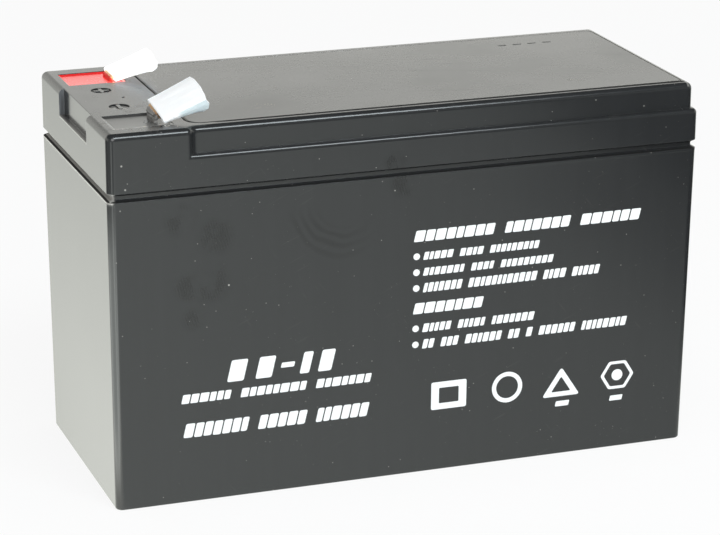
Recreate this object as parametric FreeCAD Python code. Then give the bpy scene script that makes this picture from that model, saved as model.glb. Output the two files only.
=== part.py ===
import FreeCAD, Part
import math
import os

# Sealed lead-acid block battery, 12 V, about 7 Ah: a black moulded case with six cells in two rows,
# a glued lid with a stepped band, a flush cover plate over the six valves, and two bent blade
# terminals in potted wells at the -X end, each under a flattened sleeve that flares to its mouth.
# Units are millimetres. +Z is up, the origin is the middle of the underside, +X runs along the
# length away from the terminals, and the printed front faces -Y.

Vector = FreeCAD.Vector

# Outer block
LENGTH = 151.0
WIDTH = 65.0
HEIGHT = 94.0
CORNER_RADIUS = 1.8
BOTTOM_RADIUS = 0.5
DRAFT_ENDS = 0.75
DRAFT_SIDES = 1.2

# Groove between case and lid
RIM_EDGE = 77.65
RIM_INNER = 78.2
LAND_HEIGHT = 0.6
LAND_STEP = 0.03
GROOVE_DEPTH = 1.2
LID_LOWEST = 79.0
LID_EDGE = 79.75

# Case walls and cells
WALL = 2.5
FLOOR = 2.6
PARTITION = 1.6
POCKET_CHAMFER = 0.8
COLUMNS = 3
TONGUE_TOP = 81.8
BOND_TOP = 82.4
CHANNEL_CLEARANCE = 0.1

# Plates, separators and straps
PLATE_WIDTH = 45.4
PLATE_TOP = 66.6
POSITIVE_COUNT = 4
POSITIVE_THICKNESS = 2.8
NEGATIVE_THICKNESS = 1.8
SEPARATOR_THICKNESS = 0.95
SEPARATOR_OVERHANG = 0.6
SEPARATOR_TOP = 69.0
LUG_WIDTH = 7.0
LUG_INSET = 5.5
STRAP_UNDER = 71.0
STRAP_TOP = 74.6
STRAP_WIDTH = 7.6
STRAP_OVERLAP = 2.0
WELD_TOP = 78.6
WELD_WIDTH = 10.0
WELD_HEIGHT = 75.4
WELD_RADIUS = 2.5

# Lid
LEDGE = 87.7
BAND_INSET = 1.4
BAND_INSET_END = 0.95
STEP_X = -56.1
STEP_RADIUS = 1.5
LEDGE_RADIUS = 1.15
TOP_EDGE_RADIUS = 1.5
HEADSPACE_TOP = 83.0
RIB = 1.2

# Notch in the terminal end
NOTCH_HALF_WIDTH = 13.15
NOTCH_DEPTH = 1.3
NOTCH_FLOOR = 87.3

# Cover plate, the gaps round it and the chamber under it. The plate sits against the back and far end of its
# recess, so the gap shows at the terminals' end and along the front.
COVER_LEFT = -54.1
COVER_RIGHT = 72.85
COVER_FRONT = -27.9
COVER_BACK = 28.2
COVER_THICKNESS = 1.9
COVER_RADIUS_LEFT = 3.3
COVER_RADIUS_RIGHT = 1.3
COVER_CHAMFER = 0.25
COVER_RIB_WIDTH = 2.0
COVER_GAPS = {"left": 0.65, "right": 0.1, "front": 0.4, "back": 0.1}
CHAMBER_LEDGE = 1.3
CHAMBER_FLOOR = 85.0
CHAMBER_RADIUS = 2.5
STAMP_COUNT = 4
STAMP_LENGTH = 2.3
STAMP_WIDTH = 0.7
STAMP_DEPTH = 0.25
STAMP_FIRST_X = 44.3
STAMP_PITCH = 4.16
STAMP_Y = 20.1

# Valves
VALVE_FIRST_X = -38.0
VALVE_PITCH = 47.5
VALVE_Y = 14.5
TUBE_RADIUS = 3.0
TUBE_BORE_RADIUS = 1.6
TUBE_TOP = 90.0
CAP_RADIUS = 4.2
CAP_BOTTOM = 85.6
CAP_CROWN = 1.2

# Terminal wells, mirrored about the middle plane
WELL_LEFT = -72.35
WELL_RIGHT = -57.9
WELL_INNER = 15.25
WELL_OUTER = 27.05
WELL_FLOOR = 84.8
SEAL_LEVEL = 93.6
SEAL_BRIM = 93.85
MENISCUS_WIDTH = 0.6
BRIM_WIDTH = 0.15

# Posts, gaskets and blades
POST_Y = 21.15
POST_RADIUS = 3.0
POST_HOLE_RADIUS = 3.2
POST_STUB_RADIUS = 1.6
POST_STUB_TOP = 88.5
GASKET_RADIUS = 5.0
GASKET_THICKNESS = 2.0
BLADE_WIDTH = 6.35
BLADE_THICKNESS = 0.8
BLADE_LENGTH = 7.95
BLADE_CHAMFER = 1.0
BLADE_EYE_RADIUS = 0.9
BLADE_EYE_SHARE = 0.6
FOOT_LEFT = -70.2
BEND_SECTIONS = 4

# Sleeves: width and thickness at the base, at the end of the pinched stretch and at the mouth
SLEEVE_WALL = 0.45
SLEEVE_BASE = (10.96, 1.7)
SLEEVE_PINCH = (11.9, 1.7)
SLEEVE_MOUTH = (13.6, 3.6)
PINCH_SHARE = 0.35
FOLD_FLATS = 4

# Each blade's side, the place of its bend's end, its slope above the level and roll in degrees, the radius of
# the bend and the length of its sleeve. The rolled blade has the larger bend, or its low edge would fold over
# itself.
LEAN = {
    "negative": {"side": -1, "end_x": -60.6, "end_z": 95.9, "slope": 20.6, "roll": 16.5, "bend": 1.39,
                 "sleeve": 11.75},
    "positive": {"side": 1, "end_x": -60.5, "end_z": 94.6, "slope": 18.0, "roll": 0.0, "bend": 0.8,
                 "sleeve": 11.4},
}

# Polarity marks: recessed discs with raised bars, and one ejector mark
MARK_RADIUS = 2.5
MARK_DEPTH = 0.45
MARK_BAR_WIDTH = 0.85
MARK_BAR_LENGTH = 3.9
PLUS_MARK = (-66.1, 8.45)
MINUS_MARK = (-65.85, -7.65)
EJECTOR_MARK = (-62.65, 0.45)
EJECTOR_RADIUS = 0.45
EJECTOR_DEPTH = 0.3

# Sides of the vent tubes, valve caps and welds
ROD_FLATS = 16

# Derived values
HALF_LENGTH = LENGTH / 2
HALF_WIDTH = WIDTH / 2
INNER_HALF_LENGTH = HALF_LENGTH - WALL
INNER_HALF_WIDTH = HALF_WIDTH - WALL
CELL_LENGTH = (2 * INNER_HALF_LENGTH - (COLUMNS - 1) * PARTITION) / COLUMNS
PARTITION_X = CELL_LENGTH / 2 + PARTITION / 2
FLOOR_SHARE = 1 - FLOOR / TONGUE_TOP
NEGATIVE_COUNT = POSITIVE_COUNT + 1
STACK = (POSITIVE_COUNT * POSITIVE_THICKNESS + NEGATIVE_COUNT * NEGATIVE_THICKNESS
         + 2 * POSITIVE_COUNT * SEPARATOR_THICKNESS)
COVER_UNDER = HEIGHT - COVER_THICKNESS
CAP_TOP = TUBE_TOP + CAP_CROWN
GASKET_TOP = WELL_FLOOR + GASKET_THICKNESS

# How far a cut runs past the face that it opens, by much or by little, and a joined piece into its neighbour
OVERSHOOT = 5.0
PAST = 1.0
BITE = 0.5

# Cells in order of their place in the circuit: column -1, 0, 1 along X and row -1 or 1 along Y
CELLS = [(-1, -1), (0, -1), (1, -1), (1, 1), (0, 1), (-1, 1)]


def box(x0, x1, y0, y1, z0, z1):
    """Box between the given planes."""
    return Part.makeBox(x1 - x0, y1 - y0, z1 - z0, Vector(x0, y0, z0))


def cylinder(x, y, z0, z1, radius):
    """Upright cylinder."""
    return Part.makeCylinder(radius, z1 - z0, Vector(x, y, z0))


def corner_arc(centre, radius, start):
    """Quarter circle about a centre, from the angle start in degrees, counter-clockwise."""
    points = []
    for step in (0, 45, 90):
        angle = math.radians(start + step)
        points.append(centre + Vector(radius * math.cos(angle), radius * math.sin(angle), 0))
    return Part.Arc(*points).toShape()


def rounded_wire(x0, x1, y0, y1, z, left_radius, right_radius=None):
    """Level rectangle with round corners, one radius at each end."""
    right = left_radius if right_radius is None else right_radius
    left = left_radius
    arcs = [
        corner_arc(Vector(x1 - right, y0 + right, z), right, 270),
        corner_arc(Vector(x1 - right, y1 - right, z), right, 0),
        corner_arc(Vector(x0 + left, y1 - left, z), left, 90),
        corner_arc(Vector(x0 + left, y0 + left, z), left, 180),
    ]
    edges = []
    for index, arc in enumerate(arcs):
        following = arcs[(index + 1) % len(arcs)]
        edges.append(arc)
        start, end = arc.lastVertex(True).Point, following.firstVertex(True).Point
        edges.append(Part.LineSegment(start, end).toShape())
    return Part.Wire(edges)


def prism(wire, height):
    """Closed level wire drawn upwards."""
    return Part.Face(wire).extrude(Vector(0, 0, height))


def block_sides(inset_x, inset_y):
    """Sides of the block as x0, x1, y0, y1, drawn in at its ends and at its long sides."""
    return -HALF_LENGTH + inset_x, HALF_LENGTH - inset_x, -HALF_WIDTH + inset_y, HALF_WIDTH - inset_y


def inset_wire(inset, z, radius):
    """Outline of the block with round corners, drawn in from its four sides."""
    return rounded_wire(*block_sides(inset, inset), z, radius)


def polygon_face(points):
    """Flat face with the given corners."""
    return Part.Face(Part.makePolygon(points + points[:1]))


def faceted(rings, twisted=False):
    """Solid with flat faces through rings of points, which run anticlockwise seen from the last ring.

    Between twisted rings the faces are triangles, because four corners wouldn't lie in one plane.
    """
    faces = [polygon_face(rings[0][::-1]), polygon_face(rings[-1])]
    for low, high in zip(rings, rings[1:]):
        for index in range(len(low)):
            following = (index + 1) % len(low)
            corners = [low[index], low[following], high[following], high[index]]
            if twisted:
                faces.append(polygon_face(corners[:3]))
                faces.append(polygon_face([corners[0], *corners[2:]]))
            else:
                faces.append(polygon_face(corners))
    return Part.Solid(Part.Shell(faces))


def flat_sided_rod(start, direction, length, radius):
    """Rod with a regular outline, for the round pieces that repeat inside: direction is a unit axis."""
    across = Vector(direction.y, direction.z, direction.x) * radius
    over = direction.cross(across)
    points = []
    for index in range(ROD_FLATS):
        angle = 2 * math.pi * index / ROD_FLATS
        points.append(start + across * math.cos(angle) + over * math.sin(angle))
    return polygon_face(points).extrude(direction * length)


def frustum(low, low_z, high, high_z):
    """Solid with flat sides between two level rectangles, each given as x0, x1, y0, y1."""
    rings = []
    for (x0, x1, y0, y1), z in ((low, low_z), (high, high_z)):
        rings.append([Vector(x0, y0, z), Vector(x1, y0, z), Vector(x1, y1, z), Vector(x0, y1, z)])
    return faceted(rings)


def climbing_edges(shape):
    """Edges that are not level, which are the corners of a frustum."""
    return [edge for edge in shape.Edges if edge.BoundBox.ZLength > 0.01]


def level_edges(shape, z):
    """Edges that lie at one height."""
    return [edge for edge in shape.Edges
            if abs(edge.BoundBox.ZMin - z) < 0.001 and abs(edge.BoundBox.ZMax - z) < 0.001]


def cell_bounds(column, row, share):
    """Sides of a cell's pocket: share is 0 at its top and 1 at the underside, where the draft is full."""
    x0 = -INNER_HALF_LENGTH + (column + 1) * (CELL_LENGTH + PARTITION)
    x1 = x0 + CELL_LENGTH
    if column == -1:
        x0 += DRAFT_ENDS * share
    if column == 1:
        x1 -= DRAFT_ENDS * share
    near = PARTITION / 2
    far = INNER_HALF_WIDTH - DRAFT_SIDES * share
    y0, y1 = (near, far) if row == 1 else (-far, -near)
    return x0, x1, y0, y1


def shrunk(bounds, margin):
    """Rectangle drawn in from its sides."""
    x0, x1, y0, y1 = bounds
    return x0 + margin, x1 - margin, y0 + margin, y1 - margin


def cell_pocket(column, row):
    """Drafted pocket of one cell, open at the top, with its corners thickened."""
    pocket = frustum(cell_bounds(column, row, FLOOR_SHARE), FLOOR, cell_bounds(column, row, 0), TONGUE_TOP)
    return pocket.makeChamfer(POCKET_CHAMFER, climbing_edges(pocket))


def cell_middle(column, row):
    """Middle of a cell's plates, in plan."""
    x0, x1, y0, y1 = cell_bounds(column, row, FLOOR_SHARE)
    return (x0 + x1) / 2, (y0 + y1) / 2


def lug_x(column, row, polarity):
    """Middle of a cell's positive (1) or negative (-1) lugs along X: the rows run opposite ways."""
    side = -row * polarity
    return cell_middle(column, row)[0] + side * (PLATE_WIDTH / 2 - LUG_INSET)


def weld_rod(x, y, along_x):
    """Weld that fills the hole in a partition."""
    direction = Vector(1, 0, 0) if along_x else Vector(0, 1, 0)
    start = Vector(x, y, WELD_HEIGHT) - direction * (PARTITION / 2)
    return flat_sided_rod(start, direction, PARTITION, WELD_RADIUS)


def vent_rod(x, y, z0, z1, radius):
    """Upright rod at a vent tube's place."""
    return flat_sided_rod(Vector(x, y, z0), Vector(0, 0, 1), z1 - z0, radius)


def weld_places():
    """Plan place of the weld between each pair of neighbouring cells, and whether it runs along X."""
    places = []
    for here, there in zip(CELLS, CELLS[1:]):
        if here[1] == there[1]:
            x = (here[0] + there[0]) * PARTITION_X
            places.append((x, cell_middle(*here)[1], True))
        else:
            places.append((lug_x(here[0], here[1], 1), 0.0, False))
    return places


def make_case():
    """Drafted box with the partitions in one piece, the sloped rim and the tongue that enters the lid."""
    body = frustum(block_sides(DRAFT_ENDS, DRAFT_SIDES), 0, block_sides(LAND_STEP, LAND_STEP),
                   RIM_EDGE - LAND_HEIGHT / 2)
    body = body.makeFillet(CORNER_RADIUS, climbing_edges(body))
    body = body.makeFillet(BOTTOM_RADIUS, level_edges(body, 0))
    land = prism(inset_wire(0, RIM_EDGE - LAND_HEIGHT, CORNER_RADIUS), LAND_HEIGHT)
    edge = inset_wire(0, RIM_EDGE, CORNER_RADIUS)
    inner = inset_wire(GROOVE_DEPTH, RIM_INNER, CORNER_RADIUS - GROOVE_DEPTH)
    slope = Part.makeLoft([edge, inner], True, True)
    tongue = prism(inner, TONGUE_TOP - RIM_INNER)
    case = body.fuse([land, slope, tongue])
    case = case.cut([cell_pocket(column, row) for column, row in CELLS])
    case = case.cut([weld_rod(x, y, along_x) for x, y, along_x in weld_places()])
    return case.removeSplitter()


def channel(z0, z1):
    """Ribbon over the case's tongue and partitions, with clearance at its sides."""
    inset = GROOVE_DEPTH - CHANNEL_CLEARANCE
    ribbon = prism(inset_wire(inset, z0, CORNER_RADIUS - inset), z1 - z0)
    return ribbon.cut([rib_block(column, row, z0, z1) for column, row in CELLS])


def rib_block(column, row, z0, z1):
    """Block inside a cell's mouth, with the clearance all round."""
    bounds = shrunk(cell_bounds(column, row, 0), CHANNEL_CLEARANCE)
    block = box(*bounds, z0, z1)
    return block.makeChamfer(POCKET_CHAMFER, climbing_edges(block))


def make_lid_bond():
    """Adhesive bead between the tongue's top and the bottom of the lid's channel."""
    return channel(TONGUE_TOP, BOND_TOP)


def band_wire(z):
    """Plan of the lid's upper band: full width at the terminal end, then drawn in past a soft step."""
    left, right = -HALF_LENGTH, HALF_LENGTH - BAND_INSET_END
    outer, inner = HALF_WIDTH, HALF_WIDTH - BAND_INSET
    turn = math.acos(1 - BAND_INSET / (2 * STEP_RADIUS))
    run = STEP_RADIUS * math.sin(turn)
    middle = STEP_X + run
    end = STEP_X + 2 * run
    rise_half = STEP_RADIUS * (1 - math.cos(turn / 2))
    run_half = STEP_RADIUS * math.sin(turn / 2)

    def mirrored(side):
        first = Part.Arc(Vector(STEP_X, side * outer, z),
                         Vector(STEP_X + run_half, side * (outer - rise_half), z),
                         Vector(middle, side * (outer + inner) / 2, z))
        second = Part.Arc(Vector(middle, side * (outer + inner) / 2, z),
                          Vector(end - run_half, side * (inner + rise_half), z),
                          Vector(end, side * inner, z))
        return [first.toShape(), second.toShape()]

    radius = CORNER_RADIUS
    corners = [
        corner_arc(Vector(left + radius, outer - radius, z), radius, 90),
        corner_arc(Vector(left + radius, -outer + radius, z), radius, 180),
        corner_arc(Vector(right - radius, -inner + radius, z), radius, 270),
        corner_arc(Vector(right - radius, inner - radius, z), radius, 0),
    ]

    def line(ax, ay, bx, by):
        return Part.LineSegment(Vector(ax, ay, z), Vector(bx, by, z)).toShape()

    edges = [
        corners[0],
        line(left, outer - radius, left, -outer + radius),
        corners[1],
        line(left + radius, -outer, STEP_X, -outer),
        *mirrored(-1),
        line(end, -inner, right - radius, -inner),
        corners[2],
        line(right, -inner + radius, right, inner - radius),
        corners[3],
        line(right - radius, inner, end, inner),
        *mirrored(1),
        line(STEP_X, outer, left + radius, outer),
    ]
    return Part.Wire(Part.__sortEdges__(edges))


def lid_block():
    """Outer form of the lid: sloped under edge, lower band with its round ledge, and upper band."""
    under = inset_wire(GROOVE_DEPTH, LID_LOWEST, CORNER_RADIUS - GROOVE_DEPTH)
    edge = inset_wire(0, LID_EDGE, CORNER_RADIUS)
    slope = Part.makeLoft([under, edge], True, True)
    lower = prism(edge, LEDGE - LID_EDGE)
    lower = lower.makeFillet(LEDGE_RADIUS, level_edges(lower, LEDGE))
    upper = prism(band_wire(LID_EDGE), HEIGHT - LID_EDGE)
    upper = upper.makeFillet(TOP_EDGE_RADIUS, level_edges(upper, HEIGHT))
    return lower.fuse([slope, upper]).cut(end_notch()).removeSplitter()


def end_notch():
    """Shallow recess in the terminal end, open at the top."""
    return box(-HALF_LENGTH - OVERSHOOT, -HALF_LENGTH + NOTCH_DEPTH,
               -NOTCH_HALF_WIDTH, NOTCH_HALF_WIDTH, NOTCH_FLOOR, HEIGHT + OVERSHOOT)


def headspace_pockets():
    """Hollows in the lid's underside over the six cells, inside the ribs that guide the partitions."""
    pockets = []
    for column, row in CELLS:
        bounds = shrunk(cell_bounds(column, row, 0), CHANNEL_CLEARANCE + RIB)
        pockets.append(box(*bounds, LID_LOWEST - OVERSHOOT, HEADSPACE_TOP))
    return pockets


def valve_places():
    """Plan places of the vent tubes, in the order of the cells."""
    return [(VALVE_FIRST_X + (column + 1) * VALVE_PITCH, row * VALVE_Y) for column, row in CELLS]


def cover_wire(z):
    """Outline of the cover plate."""
    return rounded_wire(COVER_LEFT, COVER_RIGHT, COVER_FRONT, COVER_BACK, z, COVER_RADIUS_LEFT,
                        COVER_RADIUS_RIGHT)


def recess_wire(z):
    """Outline of the recess that holds the cover plate."""
    return rounded_wire(COVER_LEFT - COVER_GAPS["left"], COVER_RIGHT + COVER_GAPS["right"],
                        COVER_FRONT - COVER_GAPS["front"], COVER_BACK + COVER_GAPS["back"], z,
                        COVER_RADIUS_LEFT + COVER_GAPS["front"], COVER_RADIUS_RIGHT + COVER_GAPS["right"])


def well_sides(side):
    """Sides of a terminal well as x0, x1, y0, y1: side is -1 at the front and 1 at the back."""
    y0, y1 = sorted((side * WELL_INNER, side * WELL_OUTER))
    return WELL_LEFT, WELL_RIGHT, y0, y1


def well_block(side, top):
    """Space of a terminal well, from its floor to a height."""
    return box(*well_sides(side), WELL_FLOOR, top)


def polarity_mark(place, bars_along):
    """Hollow of a recessed disc that leaves bars standing along the given axes."""
    x, y = place
    hollow = cylinder(x, y, HEIGHT - MARK_DEPTH, HEIGHT + OVERSHOOT, MARK_RADIUS)
    half_long, half_wide = MARK_BAR_LENGTH / 2, MARK_BAR_WIDTH / 2
    for along in bars_along:
        dx, dy = (half_long, half_wide) if along == "x" else (half_wide, half_long)
        hollow = hollow.cut(box(x - dx, x + dx, y - dy, y + dy, HEIGHT - MARK_DEPTH, HEIGHT))
    return hollow


def make_lid():
    """Moulded lid with its channel, headspaces, valve chamber, vent tubes, wells and marks."""
    lid = lid_block()
    lid = lid.cut(channel(LID_LOWEST - OVERSHOOT, BOND_TOP))
    lid = lid.cut(headspace_pockets())
    lid = lid.cut(prism(recess_wire(COVER_UNDER), COVER_THICKNESS + OVERSHOOT))
    chamber = rounded_wire(COVER_LEFT + CHAMBER_LEDGE, COVER_RIGHT - CHAMBER_LEDGE,
                           COVER_FRONT + CHAMBER_LEDGE, COVER_BACK - CHAMBER_LEDGE, CHAMBER_FLOOR,
                           CHAMBER_RADIUS)
    lid = lid.cut(prism(chamber, HEIGHT - CHAMBER_FLOOR))
    lid = lid.fuse([vent_rod(x, y, HEADSPACE_TOP + BITE, TUBE_TOP, TUBE_RADIUS) for x, y in valve_places()])
    lid = lid.cut([vent_rod(x, y, HEADSPACE_TOP - PAST, TUBE_TOP + PAST, TUBE_BORE_RADIUS)
                   for x, y in valve_places()])
    for side in (-1, 1):
        lid = lid.cut(well_block(side, HEIGHT + OVERSHOOT))
        post_x = lug_x(-1, side, side)
        bore = cylinder(post_x, side * POST_Y, HEADSPACE_TOP - PAST, WELL_FLOOR + PAST, POST_HOLE_RADIUS)
        lid = lid.cut(bore)
    lid = lid.cut(polarity_mark(PLUS_MARK, ("x", "y")))
    lid = lid.cut(polarity_mark(MINUS_MARK, ("y",)))
    lid = lid.cut(cylinder(*EJECTOR_MARK, HEIGHT - EJECTOR_DEPTH, HEIGHT + PAST, EJECTOR_RADIUS))
    return lid.removeSplitter()


def make_vent_cover():
    """Flush plate with a rib over each row of valves and four short stamped strokes."""
    plate = prism(cover_wire(COVER_UNDER), COVER_THICKNESS)
    plate = plate.makeChamfer(COVER_CHAMFER, level_edges(plate, HEIGHT))
    reach = VALVE_PITCH + CAP_RADIUS
    middle = VALVE_FIRST_X + VALVE_PITCH
    half = COVER_RIB_WIDTH / 2
    ribs = [box(middle - reach, middle + reach, y - half, y + half, CAP_TOP, COVER_UNDER + BITE)
            for y in (-VALVE_Y, VALVE_Y)]
    plate = plate.fuse(ribs)
    strokes = []
    for index in range(STAMP_COUNT):
        x = STAMP_FIRST_X + index * STAMP_PITCH
        strokes.append(box(x - STAMP_LENGTH / 2, x + STAMP_LENGTH / 2, STAMP_Y - STAMP_WIDTH / 2,
                           STAMP_Y + STAMP_WIDTH / 2, HEIGHT - STAMP_DEPTH, HEIGHT + PAST))
    return plate.cut(strokes).removeSplitter()


def make_valve_cap(x, y):
    """Rubber cup that grips a vent tube."""
    cup = vent_rod(x, y, CAP_BOTTOM, CAP_TOP, CAP_RADIUS)
    return cup.cut(vent_rod(x, y, CAP_BOTTOM - PAST, TUBE_TOP, TUBE_RADIUS))


def stack_places(column, row):
    """Y span of every sheet in a cell, keyed by what it is, from the front of the stack to the back."""
    y = cell_middle(column, row)[1] - STACK / 2
    places = {"negative": [], "separator": [], "positive": []}
    for index in range(POSITIVE_COUNT + NEGATIVE_COUNT):
        kind = "negative" if index % 2 == 0 else "positive"
        thickness = NEGATIVE_THICKNESS if kind == "negative" else POSITIVE_THICKNESS
        places[kind].append((y, y + thickness))
        y += thickness
        if index < POSITIVE_COUNT + NEGATIVE_COUNT - 1:
            places["separator"].append((y, y + SEPARATOR_THICKNESS))
            y += SEPARATOR_THICKNESS
    return places


def make_plates(column, row, kind):
    """Plates of one polarity in one cell, each with its lug."""
    x = cell_middle(column, row)[0]
    lug = lug_x(column, row, 1 if kind == "positive" else -1)
    plates = []
    for y0, y1 in stack_places(column, row)[kind]:
        sheet = box(x - PLATE_WIDTH / 2, x + PLATE_WIDTH / 2, y0, y1, FLOOR, PLATE_TOP)
        ear = box(lug - LUG_WIDTH / 2, lug + LUG_WIDTH / 2, y0, y1, PLATE_TOP, STRAP_UNDER)
        plates.append(sheet.fuse(ear).removeSplitter())
    return Part.makeCompound(plates)


def make_separators(column, row):
    """Glass mat sheets of one cell, a little larger than the plates."""
    x = cell_middle(column, row)[0]
    half = PLATE_WIDTH / 2 + SEPARATOR_OVERHANG
    sheets = []
    for y0, y1 in stack_places(column, row)["separator"]:
        sheets.append(box(x - half, x + half, y0, y1, FLOOR, SEPARATOR_TOP))
    return Part.makeCompound(sheets)


def strap_bar(column, row, kind):
    """Bar cast across the lugs of one polarity."""
    polarity = 1 if kind == "positive" else -1
    x = lug_x(column, row, polarity)
    places = stack_places(column, row)[kind]
    return box(x - STRAP_WIDTH / 2, x + STRAP_WIDTH / 2, places[0][0], places[-1][1], STRAP_UNDER, STRAP_TOP)


def make_cell_link(index):
    """Positive strap of one cell, weld through the partition, and negative strap of the next."""
    here, there = CELLS[index], CELLS[index + 1]
    first = strap_bar(*here, "positive")
    second = strap_bar(*there, "negative")
    x, y, along_x = weld_places()[index]
    half_wall, half_weld = PARTITION / 2, WELD_WIDTH / 2
    if along_x:
        low, high = sorted((first, second), key=lambda bar: bar.BoundBox.XMin)
        near = box(low.BoundBox.XMax, x - half_wall, y - half_weld, y + half_weld, STRAP_UNDER, WELD_TOP)
        far = box(x + half_wall, high.BoundBox.XMin, y - half_weld, y + half_weld, STRAP_UNDER, WELD_TOP)
    else:
        low, high = first, second
        half_bar = STRAP_WIDTH / 2
        near_start, far_end = low.BoundBox.YMax - STRAP_OVERLAP, high.BoundBox.YMin + STRAP_OVERLAP
        near = box(x - half_bar, x + half_bar, near_start, -half_wall, STRAP_UNDER, WELD_TOP)
        far = box(x - half_bar, x + half_bar, half_wall, far_end, STRAP_UNDER, WELD_TOP)
    return first.fuse([second, near, far, weld_rod(x, y, along_x)]).removeSplitter()


def make_post(kind):
    """End strap with the lead post that carries the blade."""
    side = LEAN[kind]["side"]
    x = lug_x(-1, side, side)
    y = side * POST_Y
    bar = strap_bar(-1, side, kind)
    stem = cylinder(x, y, STRAP_UNDER + BITE, GASKET_TOP, POST_RADIUS)
    stub = cylinder(x, y, GASKET_TOP - BITE, POST_STUB_TOP, POST_STUB_RADIUS)
    return bar.fuse([stem, stub]).removeSplitter()


def make_gasket(kind):
    """Rubber ring round the post, between the well's floor and the blade's foot."""
    side = LEAN[kind]["side"]
    x = lug_x(-1, side, side)
    ring = cylinder(x, side * POST_Y, WELL_FLOOR, GASKET_TOP, GASKET_RADIUS)
    return ring.cut(cylinder(x, side * POST_Y, WELL_FLOOR - PAST, GASKET_TOP + PAST, POST_RADIUS))


def blade_axes(slope, roll):
    """Directions along the blade, across it and out of its face, for a slope and a roll in degrees."""
    s, r = math.radians(slope), math.radians(roll)
    along = Vector(math.cos(s), 0, math.sin(s))
    face = Vector(-math.sin(s), 0, math.cos(s))
    side = Vector(0, 1, 0)
    across = side * math.cos(r) + face * math.sin(r)
    normal = face * math.cos(r) - side * math.sin(r)
    return along, across, normal


def bend_end(kind):
    """Middle of the blade where its bend ends and its sleeve begins."""
    lean = LEAN[kind]
    return Vector(lean["end_x"], lean["side"] * POST_Y, lean["end_z"])


def bend_start(kind):
    """Middle of the upright blade where its bend begins."""
    lean = LEAN[kind]
    slope = math.radians(lean["slope"])
    return bend_end(kind) - Vector(1 - math.sin(slope), 0, math.cos(slope)) * lean["bend"]


def blade_ring(centre, across, normal, width=BLADE_WIDTH):
    """Corners of the blade's cross-section."""
    a, n = across * (width / 2), normal * (BLADE_THICKNESS / 2)
    return [centre - a - n, centre + a - n, centre + a + n, centre - a + n]


def blade_strip(kind):
    """Blade from its foot over the bend to its chamfered tip, in straight facets."""
    lean = LEAN[kind]
    start = bend_start(kind)
    _, across, normal = blade_axes(90, 0)
    rings = [blade_ring(Vector(start.x, start.y, GASKET_TOP), across, normal)]
    for index in range(BEND_SECTIONS):
        share = index / (BEND_SECTIONS - 1)
        slope = 90 + (lean["slope"] - 90) * share
        angle = math.radians(slope)
        centre = start + Vector(1 - math.sin(angle), 0, math.cos(angle)) * lean["bend"]
        _, across, normal = blade_axes(slope, lean["roll"] * share)
        rings.append(blade_ring(centre, across, normal))
    along, across, normal = blade_axes(lean["slope"], lean["roll"])
    end = bend_end(kind)
    rings.append(blade_ring(end + along * (BLADE_LENGTH - BLADE_CHAMFER), across, normal))
    rings.append(blade_ring(end + along * BLADE_LENGTH, across, normal, BLADE_WIDTH - 2 * BLADE_CHAMFER))
    return faceted(rings, twisted=True)


def placed(shape, origin, axes):
    """Shape drawn along local x, y, z, moved to an origin and turned to three directions."""
    along, across, normal = axes
    matrix = FreeCAD.Matrix(along.x, across.x, normal.x, origin.x,
                            along.y, across.y, normal.y, origin.y,
                            along.z, across.z, normal.z, origin.z,
                            0, 0, 0, 1)
    shape.Placement = FreeCAD.Placement(matrix)
    return shape


def make_tab(kind):
    """Blade terminal: foot with an eye over the post, and the bent strip with an eye near its tip."""
    lean = LEAN[kind]
    y = lean["side"] * POST_Y
    half = BLADE_WIDTH / 2
    post_x = lug_x(-1, lean["side"], lean["side"])
    foot_right = bend_start(kind).x + BLADE_THICKNESS / 2
    foot_top = GASKET_TOP + BLADE_THICKNESS
    foot = box(FOOT_LEFT, foot_right, y - half, y + half, GASKET_TOP, foot_top)
    foot = foot.cut(cylinder(post_x, y, GASKET_TOP - PAST, foot_top + PAST, POST_STUB_RADIUS))
    eye = cylinder(BLADE_LENGTH * BLADE_EYE_SHARE, 0, -PAST, PAST, BLADE_EYE_RADIUS)
    eye = placed(eye, bend_end(kind), blade_axes(lean["slope"], lean["roll"]))
    return foot.fuse(blade_strip(kind).cut(eye)).removeSplitter()


def make_seal(kind):
    """Potting that fills a well round the blade, with a low meniscus along the walls."""
    lean = LEAN[kind]
    sides = well_sides(lean["side"])
    fill = well_block(lean["side"], SEAL_BRIM)
    dish = frustum(shrunk(sides, MENISCUS_WIDTH), SEAL_LEVEL, shrunk(sides, BRIM_WIDTH), SEAL_BRIM)
    fill = fill.cut(dish)
    post_x = lug_x(-1, lean["side"], lean["side"])
    plug = cylinder(post_x, lean["side"] * POST_Y, WELL_FLOOR - PAST, WELL_FLOOR + PAST, POST_RADIUS)
    fill = fill.cut([make_gasket(kind), make_post(kind), make_tab(kind), plug])
    return fill.removeSplitter()


def sleeve_ring(distance, width, thickness):
    """Points of a flattened ring whose half-round ends are a few flats, in the sleeve's directions."""
    radius = thickness / 2
    half = width / 2 - radius
    points = []
    for side, first in ((1, -90), (-1, 90)):
        for step in range(FOLD_FLATS + 1):
            angle = math.radians(first + 180 * step / FOLD_FLATS)
            points.append(Vector(distance, side * half + radius * math.cos(angle), radius * math.sin(angle)))
    return points


def make_sleeve(kind):
    """Open sleeve, pinched on the blade at its base and flared to the mouth."""
    lean = LEAN[kind]
    stations = [(0, SLEEVE_BASE), (PINCH_SHARE, SLEEVE_PINCH), (1, SLEEVE_MOUTH)]

    def skin(shrink):
        return faceted([sleeve_ring(share * lean["sleeve"], size[0] - 2 * shrink, size[1] - 2 * shrink)
                        for share, size in stations])

    sleeve = skin(0).cut(skin(SLEEVE_WALL))
    return placed(sleeve, bend_end(kind), blade_axes(lean["slope"], lean["roll"]))


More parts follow.
